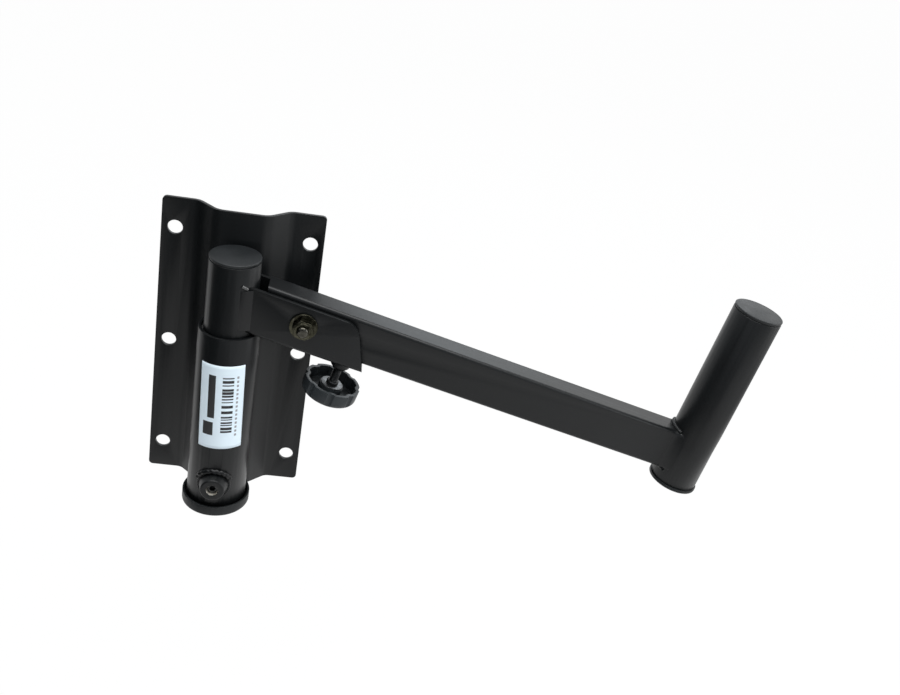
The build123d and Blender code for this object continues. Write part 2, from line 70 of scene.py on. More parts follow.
Socket = bpy.types.NodeSocket
Node = bpy.types.Node
NodeTree = bpy.types.NodeTree
Mesh = bpy.types.Mesh
BMesh = bmesh.types.BMesh
Colour = tuple[float, float, float]
Value = Union[float, int, Sequence[float], Socket]
Reshape = Callable[[BMesh], None]


class Body(Enum):
    """The bodies of the bracket that move apart from one another."""

    WALL = "wall_bracket"
    GRUB_SCREW = "grub_screw"
    SWIVEL = "swivel"
    ARM = "arm"
    SCREW = "screw"
    KNOB = "knob"


class Side(Enum):
    """The side of the arm, towards the viewer or towards the wall."""

    NEAR = 1
    FAR = -1


@dataclass(frozen=True)
class Layout:
    """Places that the sub-assemblies share, in metres."""

    tube_y: float = -40.5 * MM
    raised_face: float = -16 * MM
    arm_height: float = 64 * MM
    slope: float = math.radians(14)
    pin_lean: float = math.radians(4)
    pin_distance: float = 350 * MM
    pin_radius: float = 17.5 * MM

    @property
    def along(self) -> Vector:
        """Direction of the arm, away from the post."""
        return Vector((math.cos(self.slope), 0, -math.sin(self.slope)))

    @property
    def up(self) -> Vector:
        """Direction square to the arm, upwards."""
        return Vector((math.sin(self.slope), 0, math.cos(self.slope)))

    @property
    def near(self) -> Vector:
        """Direction out of the wall, towards the viewer."""
        return Vector((0, -1, 0))

    @property
    def pin_axis(self) -> Vector:
        """Direction of the speaker pin, upwards."""
        return self.up * math.cos(self.pin_lean) - self.along * math.sin(self.pin_lean)

    def on_arm(self, distance: float, height: float, nearness: float = 0.0) -> Vector:
        """Finds a point given in the arm's own directions.

        Args:
            distance: How far along the arm from the post's axis.
            height: How far above the arm's axis.
            nearness: How far towards the viewer.

        Returns:
            The point in the part's frame.
        """
        start = Vector((0, self.tube_y, self.arm_height))
        return start + self.along * distance + self.up * height + self.near * nearness

    def round_tube(self, radius: float, angle: float, height: float) -> Vector:
        """Finds a point on an upright cylinder round the post's axis.

        Args:
            radius: Radius of the cylinder.
            angle: Angle from the viewer's side towards +X.
            height: Height of the point.

        Returns:
            The point in the part's frame.
        """
        return Vector((radius * math.sin(angle), self.tube_y - radius * math.cos(angle), height))


PLACES = Layout()


def placed(origin: Vector, axis: Vector, across: Vector) -> Matrix:
    """Makes the matrix that stands a piece built about +Z on an axis.

    Args:
        origin: Where the piece's own origin goes.
        axis: Where its +Z points.
        across: Where its +X points, square to the axis.

    Returns:
        The matrix that takes the piece's points into the part's frame.
    """
    side = axis.cross(across)
    turned = Matrix((across, side, axis)).transposed().to_4x4()
    return Matrix.Translation(origin) @ turned


class Wiring:
    """Adds nodes to one node tree and joins their sockets."""

    def __init__(self, tree: NodeTree) -> None:
        """Keeps the tree that the nodes go into."""
        self.tree = tree

    def find(self, kind: str) -> Node:
        """Finds the tree's first node of a type."""
        return next(node for node in self.tree.nodes if node.type == kind)

    def node(self, kind: str, *values: Value, **settings: Any) -> Node:
        """Adds a node.

        Args:
            kind: Blender's name of the node type.
            values: What its inputs get, in order.
            settings: Values of the node's own properties.

        Returns:
            The new node.
        """
        made = self.tree.nodes.new(kind)
        for name, value in settings.items():
            setattr(made, name, value)
        for socket, value in zip(made.inputs, values):
            self.feed(socket, value)
        return made

    def feed(self, socket: Socket, value: Value) -> None:
        """Joins a socket to another one, or gives it a plain value.

        Args:
            socket: The input socket.
            value: A socket or a plain value.
        """
        if isinstance(value, Socket):
            self.tree.links.new(value, socket)
        else:
            socket.default_value = value

    def feed_all(self, node: Node, values: dict[str, Value]) -> Socket:
        """Feeds a node's inputs by name.

        Args:
            node: The node.
            values: What its named inputs get.

        Returns:
            The node's first output.
        """
        for name, value in values.items():
            self.feed(node.inputs[name], value)
        return node.outputs[0]

    def math(self, operation: str, *values: Value) -> Socket:
        """Adds a Math node and feeds its inputs in order."""
        return self.node("ShaderNodeMath", *values, operation=operation).outputs[0]

    def vector(self, operation: str, *values: Value) -> Socket:
        """Adds a Vector Math node and feeds its inputs in order."""
        return self.node("ShaderNodeVectorMath", *values, operation=operation).outputs[0]

    def scaled(self, direction: Value, amount: Value) -> Socket:
        """Adds a Vector Math node that lengthens a vector by an amount."""
        made = self.node("ShaderNodeVectorMath", direction, operation="SCALE")
        return self.feed_all(made, {"Scale": amount})

    def parts(self, vector: Value) -> Sequence[Socket]:
        """Adds a node that splits a vector into its three coordinates."""
        return self.node("ShaderNodeSeparateXYZ", vector).outputs

    def span(self, value: Value, low: float, high: float, to_low: float, to_high: float) -> Socket:
        """Adds a Map Range node that turns one span of values into another, held at its ends."""
        ends = (low, high, to_low, to_high)
        return self.node("ShaderNodeMapRange", value, *ends, clamp=True).outputs[0]

    def noise(self, vector: Value, scale: Value, detail: float = 2.0) -> Socket:
        """Adds a Noise Texture and gives its factor."""
        made = self.node("ShaderNodeTexNoise")
        return self.feed_all(made, {"Vector": vector, "Scale": scale, "Detail": detail})

    def blend(self, factor: Value, first: Value, second: Value) -> Socket:
        """Adds a colour Mix node.

        Args:
            factor: Share of the second colour.
            first: The first colour.
            second: The second colour.

        Returns:
            The mixed colour.
        """
        made = self.node("ShaderNodeMix", data_type="RGBA")
        colours = [s for s in made.inputs if s.type == "RGBA"]
        self.feed(made.inputs["Factor"], factor)
        self.feed(colours[0], first)
        self.feed(colours[1], second)
        return next(s for s in made.outputs if s.type == "RGBA")


def opaque(colour: Colour) -> tuple[float, float, float, float]:
    """Adds a full alpha to a colour."""
    return (*colour, 1.0)


def lightened(colour: Colour, gain: float, lift: float = 0.0) -> Colour:
    """Multiplies a colour and adds to it, up to white."""
    return tuple(min(1.0, c * gain + lift) for c in colour)


def new_material(name: str) -> bpy.types.Material:
    """Makes a material with a node tree.

    Args:
        name: Name of the material.

    Returns:
        The new material.
    """
    made = bpy.data.materials.new(name)
    made.use_nodes = True
    return made


class Effect(Enum):
    """Shader groups that several finishes share."""

    PEEL = "coat_peel"
    DUST = "settled_dust"
    RUB = "fine_rub_marks"


@cache
def effect_group(effect: Effect) -> NodeTree:
    """Gives the shader group of an effect, and builds it the first time.

    Args:
        effect: The effect wanted.

    Returns:
        The group's node tree.
    """
    tree = bpy.data.node_groups.new(effect.value, "ShaderNodeTree")
    wire = Wiring(tree)
    side = tree.interface
    side.new_socket("Vector", in_out="INPUT", socket_type="NodeSocketVector")
    for name in ("Scale", "Amount"):
        side.new_socket(name, in_out="INPUT", socket_type="NodeSocketFloat")
    side.new_socket("Mask", in_out="OUTPUT", socket_type="NodeSocketFloat")
    place, scale, amount = wire.node("NodeGroupInput").outputs[:3]
    if effect is Effect.PEEL:
        broad_scale, fine_share, broad_share = 0.23, 0.65, 0.35
        fine = wire.noise(place, scale, detail=1.5)
        broad = wire.noise(place, wire.math("MULTIPLY", scale, broad_scale), detail=1.0)
        fine_part = wire.math("MULTIPLY", fine, fine_share)
        mask = wire.math("ADD", fine_part, wire.math("MULTIPLY", broad, broad_share))
    elif effect is Effect.DUST:
        drift_scale, drift_ends, speck_ends = 0.04, (0.45, 0.75), (0.02, 0.16)
        cells = wire.node("ShaderNodeTexVoronoi")
        to_speck = wire.feed_all(cells, {"Vector": place, "Scale": scale})
        specks = wire.span(to_speck, *speck_ends, 1.0, 0.0)
        drifts = wire.noise(place, wire.math("MULTIPLY", scale, drift_scale), detail=4.0)
        mask = wire.math("MULTIPLY", specks, wire.span(drifts, *drift_ends, 0.0, 1.0))
    else:
        upright = ((1.0, 1.0, 0.07), (0.6, 0.72))
        level = ((0.08, 1.0, 1.0), (0.62, 0.74))
        marks = []
        for stretch, ends in (upright, level):
            stretched = wire.vector("MULTIPLY", place, stretch)
            marks.append(wire.span(wire.noise(stretched, scale, detail=3.0), *ends, 0.0, 1.0))
        mask = wire.math("MAXIMUM", *marks)
    wire.node("NodeGroupOutput", wire.math("MULTIPLY", mask, amount))
    return tree


@dataclass(frozen=True)
class Finish:
    """A surface finish, which makes its material once, unless the frame has one."""

    name: str
    colour: Colour
    roughness: float

    def material(self) -> bpy.types.Material:
        """Gives the material of this finish, and builds it the first time.

        A material of this name that the frame brings along is taken as it is.

        Returns:
            The material.
        """
        known = bpy.data.materials.get(self.name)
        if known is not None:
            return known
        made = new_material(self.name)
        wire = Wiring(made.node_tree)
        place = wire.node("ShaderNodeTexCoord").outputs["Object"]
        self.wire_up(wire, wire.find("BSDF_PRINCIPLED"), place)
        return made

    def wire_up(self, wire: Wiring, shader: Node, place: Socket) -> None:
        """Feeds the shader's sockets; each kind of finish has its own way.

        Args:
            wire: The material's wiring.
            shader: The shader to feed.
            place: Coordinates on the object.
        """
        raise NotImplementedError

    def effect(
        self, wire: Wiring, effect: Effect, place: Value, scale: float, amount: float = 1.0
    ) -> Socket:
        """Places a shared effect in this finish.

        Args:
            wire: The material's wiring.
            effect: The effect to place.
            place: Coordinates that it follows.
            scale: How fine it is, in features per metre.
            amount: How strong it is.

        Returns:
            The socket with the effect's mask.
        """
        made = wire.node("ShaderNodeGroup", node_tree=effect_group(effect))
        return wire.feed_all(made, {"Vector": place, "Scale": scale, "Amount": amount})

    def roughen(
        self, wire: Wiring, shader: Node, noise: Value, below: float, above: float
    ) -> None:
        """Lets the roughness follow a noise.

        Args:
            wire: The material's wiring.
            shader: The shader to feed.
            noise: The noise.
            below: How far the roughness falls below its own value.
            above: How far it rises above that.
        """
        low, high = self.roughness - below, self.roughness + above
        wire.feed(shader.inputs["Roughness"], wire.span(noise, NOISE_LOW, NOISE_HIGH, low, high))

    def bump(self, wire: Wiring, shader: Node, height: Value, depth: float) -> None:
        """Feeds the shader's normal with a bump.

        Args:
            wire: The material's wiring.
            shader: The shader to feed.
            height: Height of the bump, from 0 to 1.
            depth: Its depth in metres.
        """
        made = wire.node("ShaderNodeBump")
        normal = wire.feed_all(made, {"Strength": 1.0, "Distance": depth, "Height": height})
        wire.feed(shader.inputs["Normal"], normal)


@dataclass(frozen=True)
class PowderCoat(Finish):
    """Baked powder coat with a slight orange peel and a little dust."""

    peel_scale: float = 650.0
    peel_depth: float = 0.05 * MM
    tone_scale: float = 14.0
    tone_spread: float = 0.1
    dust: float = 0.35
    dust_scale: float = 420.0
    dust_colour: Colour = (0.05, 0.053, 0.055)
    rub: float = 0.25
    rub_scale: float = 260.0
    rub_spread: float = 0.1
    sheen_level: float = 0.3

    def wire_up(self, wire: Wiring, shader: Node, place: Socket) -> None:
        """Feeds colour, roughness and normal from the shared effects.

        Args:
            wire: The material's wiring.
            shader: The shader to feed.
            place: Coordinates on the object.
        """
        peel = self.effect(wire, Effect.PEEL, place, self.peel_scale)
        tone = wire.noise(place, self.tone_scale, detail=3.0)
        specks = self.effect(wire, Effect.DUST, place, self.dust_scale, self.dust)
        rubs = self.effect(wire, Effect.RUB, place, self.rub_scale, self.rub)
        pale = opaque(lightened(self.colour, gain=1.45, lift=0.002))
        base = wire.blend(tone, opaque(self.colour), pale)
        wire.feed(shader.inputs["Base Color"], wire.blend(specks, base, opaque(self.dust_colour)))
        shader.inputs["Specular IOR Level"].default_value = self.sheen_level
        rubbed = wire.math("MULTIPLY", rubs, self.rub_spread)
        worn = wire.math("ADD", rubbed, wire.math("MULTIPLY", tone, self.tone_spread))
        wire.feed(shader.inputs["Roughness"], wire.math("ADD", worn, self.roughness))
        self.bump(wire, shader, peel, self.peel_depth)


@dataclass(frozen=True)
class MouldedPlastic(Finish):
    """Moulded plastic with a fine grain."""

    grain_scale: float = 2200.0
    grain_depth: float = 0.03 * MM
    flow_scale: float = 55.0
    flow_stretch: tuple[float, float, float] = (1.0, 1.0, 3.0)
    dust: float = 0.3
    dust_scale: float = 520.0
    dust_colour: Colour = (0.13, 0.13, 0.13)
    sheen_level: float = 0.3

    def wire_up(self, wire: Wiring, shader: Node, place: Socket) -> None:
        """Feeds colour, roughness and normal from grain, flow marks and dust.

        Args:
            wire: The material's wiring.
            shader: The shader to feed.
            place: Coordinates on the object.
        """
        grain = self.effect(wire, Effect.PEEL, place, self.grain_scale)
        flattened = wire.vector("MULTIPLY", place, self.flow_stretch)
        flow = wire.noise(flattened, self.flow_scale)
        specks = self.effect(wire, Effect.DUST, place, self.dust_scale, self.dust)
        shader.inputs["Specular IOR Level"].default_value = self.sheen_level
        pale = opaque(lightened(self.colour, gain=1.5, lift=0.003))
        base = wire.blend(flow, opaque(self.colour), pale)
        wire.feed(shader.inputs["Base Color"], wire.blend(specks, base, opaque(self.dust_colour)))
        self.roughen(wire, shader, flow, below=0.05, above=0.08)
        self.bump(wire, shader, grain, self.grain_depth)


@dataclass(frozen=True)
class PlatedSteel(Finish):
    """Plated or bare steel, with clouded tone and fine rub marks."""

    second_colour: Colour
    metallic: float = 1.0
    cloud_scale: float = 320.0
    cloud_ends: tuple[float, float] = (0.35, 0.65)
    below: float = 0.06
    above: float = 0.1
    rub: float = 0.7
    rub_scale: float = 900.0
    rub_depth: float = 0.01 * MM

    def wire_up(self, wire: Wiring, shader: Node, place: Socket) -> None:
        """Feeds colour, roughness and normal from clouds and rub marks.

        Args:
            wire: The material's wiring.
            shader: The shader to feed.
            place: Coordinates on the object.
        """
        cloud_noise = wire.noise(place, self.cloud_scale, detail=4.0)
        clouds = wire.span(cloud_noise, *self.cloud_ends, 0.0, 1.0)
        rubs = self.effect(wire, Effect.RUB, place, self.rub_scale, self.rub)
        base = wire.blend(clouds, opaque(self.colour), opaque(self.second_colour))
        bright = opaque(lightened(self.second_colour, gain=1.5, lift=0.05))
        wire.feed(shader.inputs["Base Color"], wire.blend(rubs, base, bright))
        shader.inputs["Metallic"].default_value = self.metallic
        low, high = self.roughness - self.below, self.roughness + self.above
        wire.feed(shader.inputs["Roughness"], wire.span(clouds, 0.0, 1.0, low, high))
        self.bump(wire, shader, rubs, self.rub_depth)


@dataclass(frozen=True)
class Patch:
    """An upright rectangle on the sticker; its sides run from 0 to 1 across and up the sticker."""

    left: float
    right: float
    low: float
    high: float

    def mask(self, wire: Wiring, across: Value, upward: Value) -> Socket:
        """Makes the mask of the rectangle.

        Args:
            wire: The material's wiring.
            across: Coordinate across the sticker.
            upward: Coordinate up the sticker.

        Returns:
            The socket that is 1 inside the rectangle and 0 outside.
        """
        inside = wire.math("GREATER_THAN", across, self.left)
        for operation, value, limit in (
            ("LESS_THAN", across, self.right),
            ("GREATER_THAN", upward, self.low),
            ("LESS_THAN", upward, self.high),
        ):
            inside = wire.math("MULTIPLY", inside, wire.math(operation, value, limit))
        return inside


@dataclass(frozen=True)
class StickerPrint(Finish):
    """Glossy white film with plain printed blocks and a field of thin bars."""

    ink: Colour = (0.012, 0.012, 0.014)
    pale_ink: Colour = (0.3, 0.31, 0.33)
    bar_field: Patch = Patch(0.52, 0.78, 0.17, 0.89)
    bar_scale: float = 30.0
    band: Patch = Patch(0.19, 0.36, 0.37, 0.88)
    square: Patch = Patch(0.1, 0.34, 0.16, 0.32)
    dash_strip: Patch = Patch(0.84, 0.885, 0.14, 0.89)
    dash_scale: float = 20.0
    dash_share: float = 0.55
    tone_scale: float = 90.0
    ripple_scale: float = 160.0
    ripple_depth: float = 0.04 * MM

    def wire_up(self, wire: Wiring, shader: Node, place: Socket) -> None:
        """Feeds the printed colours, which follow the sticker's own UV map.

        Args:
            wire: The material's wiring.
            shader: The shader to feed.
            place: Coordinates on the object.
        """
        across, upward = wire.parts(wire.node("ShaderNodeUVMap", uv_map="print").outputs["UV"])[:2]
        made = wire.node("ShaderNodeTexNoise", noise_dimensions="1D")
        height = wire.math("MULTIPLY", upward, self.bar_scale)
        bar_noise = wire.feed_all(made, {"W": height, "Scale": 1.0, "Detail": 0.0})
        bars = wire.math("GREATER_THAN", bar_noise, 0.5)
        field = wire.math("MULTIPLY", bars, self.bar_field.mask(wire, across, upward))
        band = self.band.mask(wire, across, upward)
        square = self.square.mask(wire, across, upward)
        stage = wire.math("FRACT", wire.math("MULTIPLY", upward, self.dash_scale))
        dashes = wire.math("LESS_THAN", stage, self.dash_share)
        strip = wire.math("MULTIPLY", dashes, self.dash_strip.mask(wire, across, upward))
        paper_tone = wire.noise(place, self.tone_scale)
        shaded = opaque(lightened(self.colour, gain=0.93))
        paper = wire.blend(paper_tone, opaque(self.colour), shaded)
        grey = wire.blend(strip, paper, opaque(self.pale_ink))
        dark = wire.math("MAXIMUM", field, wire.math("MAXIMUM", band, square))
        wire.feed(shader.inputs["Base Color"], wire.blend(dark, grey, opaque(self.ink)))
        self.roughen(wire, shader, paper_tone, below=0.04, above=0.06)
        ripples = self.effect(wire, Effect.PEEL, place, self.ripple_scale)
        self.bump(wire, shader, ripples, self.ripple_depth)


COAT = PowderCoat("satin_black_coat", (0.0028, 0.0034, 0.0038), 0.31)
BEAD_COAT = PowderCoat(
    "coat_over_weld", (0.0026, 0.003, 0.0034), 0.27, peel_scale=900.0, dust=0.2
)
# Painted highlight: a lighter copy of the coat with a raised sheen, so that the lump at each
# bead's end shows a bright glint.
GLINT_COAT = PowderCoat(
    "coat_over_bead_stop",
    (0.006, 0.0065, 0.007),
    0.12,
    peel_scale=900.0,
    dust=0.1,
    sheen_level=0.9,
)
CAP_PLASTIC = MouldedPlastic("cap_plastic", (0.0065, 0.0078, 0.0086), 0.42)
KNOB_PLASTIC = MouldedPlastic("knob_plastic", (0.016, 0.019, 0.021), 0.4, grain_scale=1500.0)
BUSH_PLASTIC = MouldedPlastic("bush_plastic", (0.008, 0.008, 0.008), 0.45)
DARK_ZINC = PlatedSteel("dark_olive_zinc", (0.032, 0.031, 0.021), 0.25, (0.075, 0.072, 0.052))
ROD_ZINC = PlatedSteel("black_zinc", (0.035, 0.036, 0.037), 0.36, (0.06, 0.062, 0.064))
BARE_STEEL = PlatedSteel("bare_steel", (0.42, 0.4, 0.36), 0.26, (0.62, 0.6, 0.56))
BORE_STEEL = PlatedSteel("bright_bore", (0.8, 0.76, 0.66), 0.55, (0.9, 0.87, 0.8))
BOLT_END = PlatedSteel("worn_zinc_end", (0.045, 0.043, 0.036), 0.16, (0.085, 0.082, 0.07))
INSERT_STEEL = PlatedSteel("dull_steel", (0.13, 0.135, 0.14), 0.42, (0.2, 0.205, 0.21))
STICKER = StickerPrint("printed_film", (0.77, 0.88, 0.95), 0.32)


def new_object(name: str, mesh: Mesh) -> bpy.types.Object:
    """Puts a mesh into the scene as an object at the origin.

    Args:
        name: Name of the object.
        mesh: Its mesh.

    Returns:
        The new object.
    """
    made = bpy.data.objects.new(name, mesh)
    bpy.context.scene.collection.objects.link(made)
    return made


def baked(worker: bpy.types.Object) -> Mesh:
    """Turns an object with modifiers into a plain mesh and removes the object.

    Args:
        worker: The object, which is used up.

    Returns:
        The finished mesh.
    """
    bpy.context.view_layer.update()
    graph = bpy.context.evaluated_depsgraph_get()
    mesh = bpy.data.meshes.new_from_object(
        worker.evaluated_get(graph), preserve_all_data_layers=True, depsgraph=graph
    )
    bpy.data.objects.remove(worker)
    return mesh


def settle(name: str, mesh: Mesh, body: Body, finish: Finish, node: str) -> bpy.types.Object:
    """Makes a finished piece of a mesh, with its finish, its body and the node it stands for.

    Args:
        name: Name of the piece.
        mesh: Its mesh.
        body: The body that it moves with.
        finish: Its surface finish.
        node: The CAD node that it replaces.

    Returns:
        The piece.
    """
    piece = new_object(name, mesh)
    mesh.materials.clear()
    mesh.materials.append(finish.material())
    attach(piece, body.value)
    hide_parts(node)
    log.info("%s: %d faces", name, len(mesh.polygons))
    return piece


def opened(*meshes: Mesh) -> BMesh:
    """Opens one or more meshes for editing, as one.

    Args:
        meshes: The meshes, which stay as they are.

    Returns:
        The mesh under edit.
    """
    work = bmesh.new()
    for mesh in meshes:
        work.from_mesh(mesh)
    return work


def emptied(work: BMesh, name: str) -> Mesh:
    """Turns a mesh under edit into a plain mesh and frees it.

    Args:
        work: The mesh under edit, which is used up.
        name: Name of the plain mesh.

    Returns:
        The plain mesh.
    """
    mesh = bpy.data.meshes.new(name)
    work.to_mesh(mesh)
    work.free()
    return mesh


def softened(
    node: str,
    body: Body,
    finish: Finish,
    edge: float,
    steps: int = 2,
    reshape: Optional[Reshape] = None,
) -> bpy.types.Object:
    """Makes a smooth copy of a CAD node with its sharp edges rounded over.

    Args:
        node: The CAD node.
        body: The body that it moves with.
        finish: Its surface finish.
        edge: Radius of the rounding.
        steps: How many faces the rounding has.
        reshape: Changes the merged mesh before its edges are rounded.

    Returns:
        The piece, which stands for the node.
    """
    work = opened(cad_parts[node].data)
    bmesh.ops.remove_doubles(work, verts=work.verts, dist=MERGE_DISTANCE)
    if reshape is not None:
        reshape(work)
    bmesh.ops.dissolve_limit(work, angle_limit=FLAT_ANGLE, verts=work.verts, edges=work.edges)
    for face in work.faces:
        face.smooth = True
    worker = new_object(node + "_work", emptied(work, node + "_finished"))
    rounding = worker.modifiers.new("edge", "BEVEL")
    rounding.width = edge
    rounding.segments = steps
    rounding.limit_method = "ANGLE"
    rounding.angle_limit = SHARP_ANGLE
    rounding.harden_normals = True
    rounding.use_clamp_overlap = True
    return settle(node + "_finished", baked(worker), body, finish, node)


def geometry_tree(name: str, numbers: Sequence[str]) -> NodeTree:
    """Starts a geometry tree with the sockets that every one has.

    Args:
        name: Name of the tree.
        numbers: Names of its number inputs.

    Returns:
        The new tree.
    """
    tree = bpy.data.node_groups.new(name, "GeometryNodeTree")
    side = tree.interface
    side.new_socket("Geometry", in_out="INPUT", socket_type="NodeSocketGeometry")
    for number in numbers:
        side.new_socket(number, in_out="INPUT", socket_type="NodeSocketFloat")
    side.new_socket("Finish", in_out="INPUT", socket_type="NodeSocketMaterial")
    side.new_socket("Geometry", in_out="OUTPUT", socket_type="NodeSocketGeometry")
    return tree


def tree_end(wire: Wiring, shape: Socket, finish: Socket) -> None:
    """Ends a geometry tree: real meshes, smooth shading and the finish.

    Args:
        wire: Wiring of the tree.
        shape: The shape that the tree has made.
        finish: The material to set.
    """
    real = wire.node("GeometryNodeRealizeInstances", shape).outputs[0]
    coating = wire.node("GeometryNodeSetMaterial", real)
    coated = wire.feed_all(coating, {"Material": finish})
    smooth = wire.node("GeometryNodeSetShadeSmooth", coated).outputs[0]
    wire.node("NodeGroupOutput", smooth)


def captured(wire: Wiring, shape: Socket, value: Socket) -> Sequence[Socket]:
    """Keeps a value on the points of a shape.

    Args:
        wire: Wiring of the tree.
        shape: The shape.
        value: The value to keep.

    Returns:
        The sockets of the shape and of the value.
    """
    made = wire.node("GeometryNodeCaptureAttribute", domain="POINT")
    made.capture_items.new("FLOAT", "kept")
    wire.feed(made.inputs[0], shape)
    wire.feed(made.inputs[1], value)
    return made.outputs


@cache
def bead_tree() -> NodeTree:
    """Gives the tree that lays a rippled weld bead along a path of edges.

    Returns:
        The tree, built the first time.
    """
    sample_share, blunt_end, ring_points = 0.14, 0.4 * MM, 18
    swing_share, wave_middle, lump_scale = 0.3, 0.7, 300.0
    tree = geometry_tree("weld_bead", ("Radius", "Pitch", "Ripple", "Unevenness"))
    wire = Wiring(tree)
    taken = wire.node("NodeGroupInput").outputs
    path = wire.node("GeometryNodeMeshToCurve", taken["Geometry"]).outputs[0]
    step = wire.math("MULTIPLY", taken["Pitch"], sample_share)
    resample = wire.node("GeometryNodeResampleCurve", path, mode="LENGTH")
    even = wire.feed_all(resample, {"Length": step})
    travelled = wire.node("GeometryNodeSplineParameter").outputs["Length"]
    whole = wire.node("GeometryNodeSplineLength").outputs["Length"]
    to_end = wire.math("MINIMUM", travelled, wire.math("SUBTRACT", whole, travelled))
    grown_by = wire.math("DIVIDE", wire.math("ADD", to_end, blunt_end), taken["Radius"])
    rise = wire.math("MINIMUM", 1.0, grown_by)
    short = wire.math("SUBTRACT", 1.0, rise)
    lost = wire.math("MULTIPLY", short, short)
    fullness = wire.math("SQRT", wire.math("SUBTRACT", 1.0, lost))
    closed = wire.node("GeometryNodeInputSplineCyclic").outputs[0]
    swell = wire.node("GeometryNodeSetCurveRadius", even)
    swollen = wire.feed_all(swell, {"Radius": wire.math("MAXIMUM", fullness, closed)})
    marked = captured(wire, swollen, travelled)
    circle = wire.node("GeometryNodeCurvePrimitiveCircle", mode="RADIUS")
    ring = wire.feed_all(circle, {"Resolution": ring_points, "Radius": taken["Radius"]})
    turned = captured(wire, ring, wire.node("GeometryNodeSplineParameter").outputs["Factor"])
    sweep = wire.node("GeometryNodeCurveToMesh", marked[0])
    bead = wire.feed_all(sweep, {"Profile Curve": turned[0], "Fill Caps": True})
    angle = wire.math("MULTIPLY", turned[1], TURN)
    swing = wire.math("MULTIPLY", wire.math("SINE", angle), swing_share)
    stage = wire.math("ADD", wire.math("DIVIDE", marked[1], taken["Pitch"]), swing)
    wave = wire.math("ABSOLUTE", wire.math("SINE", wire.math("MULTIPLY", stage, math.pi)))
    ripple = wire.math("MULTIPLY", wire.math("SUBTRACT", wave, wave_middle), taken["Ripple"])
    lumps = wire.noise(wire.node("GeometryNodeInputPosition").outputs[0], lump_scale)
    lump = wire.math("MULTIPLY", wire.math("SUBTRACT", lumps, 0.5), taken["Unevenness"])
    normal = wire.node("GeometryNodeInputNormal").outputs[0]
    offset = wire.scaled(normal, wire.math("ADD", ripple, lump))
    moved = wire.feed_all(wire.node("GeometryNodeSetPosition", bead), {"Offset": offset})
    tree_end(wire, moved, taken["Finish"])
    return tree


@cache
def thread_tree() -> NodeTree:
    """Gives the tree that makes a threaded rod about +Z, from its lower end up.

    Returns:
        The tree, built the first time.
    """
    side_points, rows_a_pitch, flank_from, flank_to = 40, 10.0, 0.12, 0.88
    tree = geometry_tree("screw_thread", ("Length", "Radius", "Pitch", "Depth", "End"))
    wire = Wiring(tree)
    taken = wire.node("NodeGroupInput").outputs
    pitches = wire.math("DIVIDE", taken["Length"], taken["Pitch"])
    sizes = {
        "Vertices": side_points,
        "Side Segments": wire.math("MULTIPLY", pitches, rows_a_pitch),
        "Radius": taken["Radius"],
        "Depth": taken["Length"],
    }
    rod = wire.feed_all(wire.node("GeometryNodeMeshCylinder", fill_type="NGON"), sizes)
    across, deep, height = wire.parts(wire.node("GeometryNodeInputPosition").outputs[0])
    angle = wire.math("DIVIDE", wire.math("ARCTAN2", deep, across), TURN)
    turns = wire.math("SUBTRACT", wire.math("DIVIDE", height, taken["Pitch"]), angle)
    phase = wire.math("FRACT", turns)
    flank = wire.math("ABSOLUTE", wire.math("SUBTRACT", wire.math("MULTIPLY", phase, 2.0), 1.0))
    groove = wire.span(flank, flank_from, flank_to, 0.0, 1.0)
    root = wire.math("MULTIPLY", groove, taken["Depth"])
    half = wire.math("MULTIPLY", taken["Length"], 0.5)
    to_end = wire.math("SUBTRACT", half, wire.math("ABSOLUTE", height))
    blunt = wire.math("MAXIMUM", 0.0, wire.math("SUBTRACT", taken["End"], to_end))
    cut = wire.math("MAXIMUM", root, blunt)
    factor = wire.math("SUBTRACT", 1.0, wire.math("DIVIDE", cut, taken["Radius"]))
    sideways = (wire.math("MULTIPLY", value, factor) for value in (across, deep))
    place = wire.node("ShaderNodeCombineXYZ", *sideways, wire.math("ADD", height, half)).outputs[0]
    moved = wire.feed_all(wire.node("GeometryNodeSetPosition", rod), {"Position": place})
    tree_end(wire, moved, taken["Finish"])
    return tree


def grown(seed_mesh: Mesh, tree: NodeTree, values: dict[str, Any]) -> Mesh:
    """Runs a geometry tree on a mesh and gives the plain result.

    Args:
        seed_mesh: The mesh that goes into the tree.
        tree: The tree.
        values: Values of the tree's named inputs.

    Returns:
        The finished mesh.
    """
    worker = new_object(seed_mesh.name + "_work", seed_mesh)
    modifier = worker.modifiers.new(tree.name, "NODES")
    modifier.node_group = tree
    for item in tree.interface.items_tree:
        if item.item_type == "SOCKET" and item.in_out == "INPUT" and item.name in values:
            modifier[item.identifier] = values[item.name]
    return baked(worker)


@dataclass(frozen=True)
class Bead:
    """Sizes of a weld bead, in metres."""

    radius: float = 1.9 * MM
    pitch: float = 1.7 * MM
    ripple: float = 0.28 * MM
    unevenness: float = 0.5 * MM

    def lay(self, name: str, paths: Sequence[Sequence[Vector]], closed: bool = False) -> Mesh:
        """Lays the bead along one or more paths.

        Args:
            name: Name of the work.
            paths: The points of each path.
            closed: Whether each path ends where it starts.

        Returns:
            The mesh of all the beads.
        """
        mesh = bpy.data.meshes.new(name)
        points, edges = [], []
        for path in paths:
            first = len(points)
            points.extend(path)
            edges.extend((first + i, first + i + 1) for i in range(len(path) - 1))
            if closed:
                edges.append((len(points) - 1, first))
        mesh.from_pydata([tuple(p) for p in points], edges, [])
        values = {
            "Radius": self.radius,
            "Pitch": self.pitch,
            "Ripple": self.ripple,
            "Unevenness": self.unevenness,
            "Finish": BEAD_COAT.material(),
        }
        return grown(mesh, bead_tree(), values)


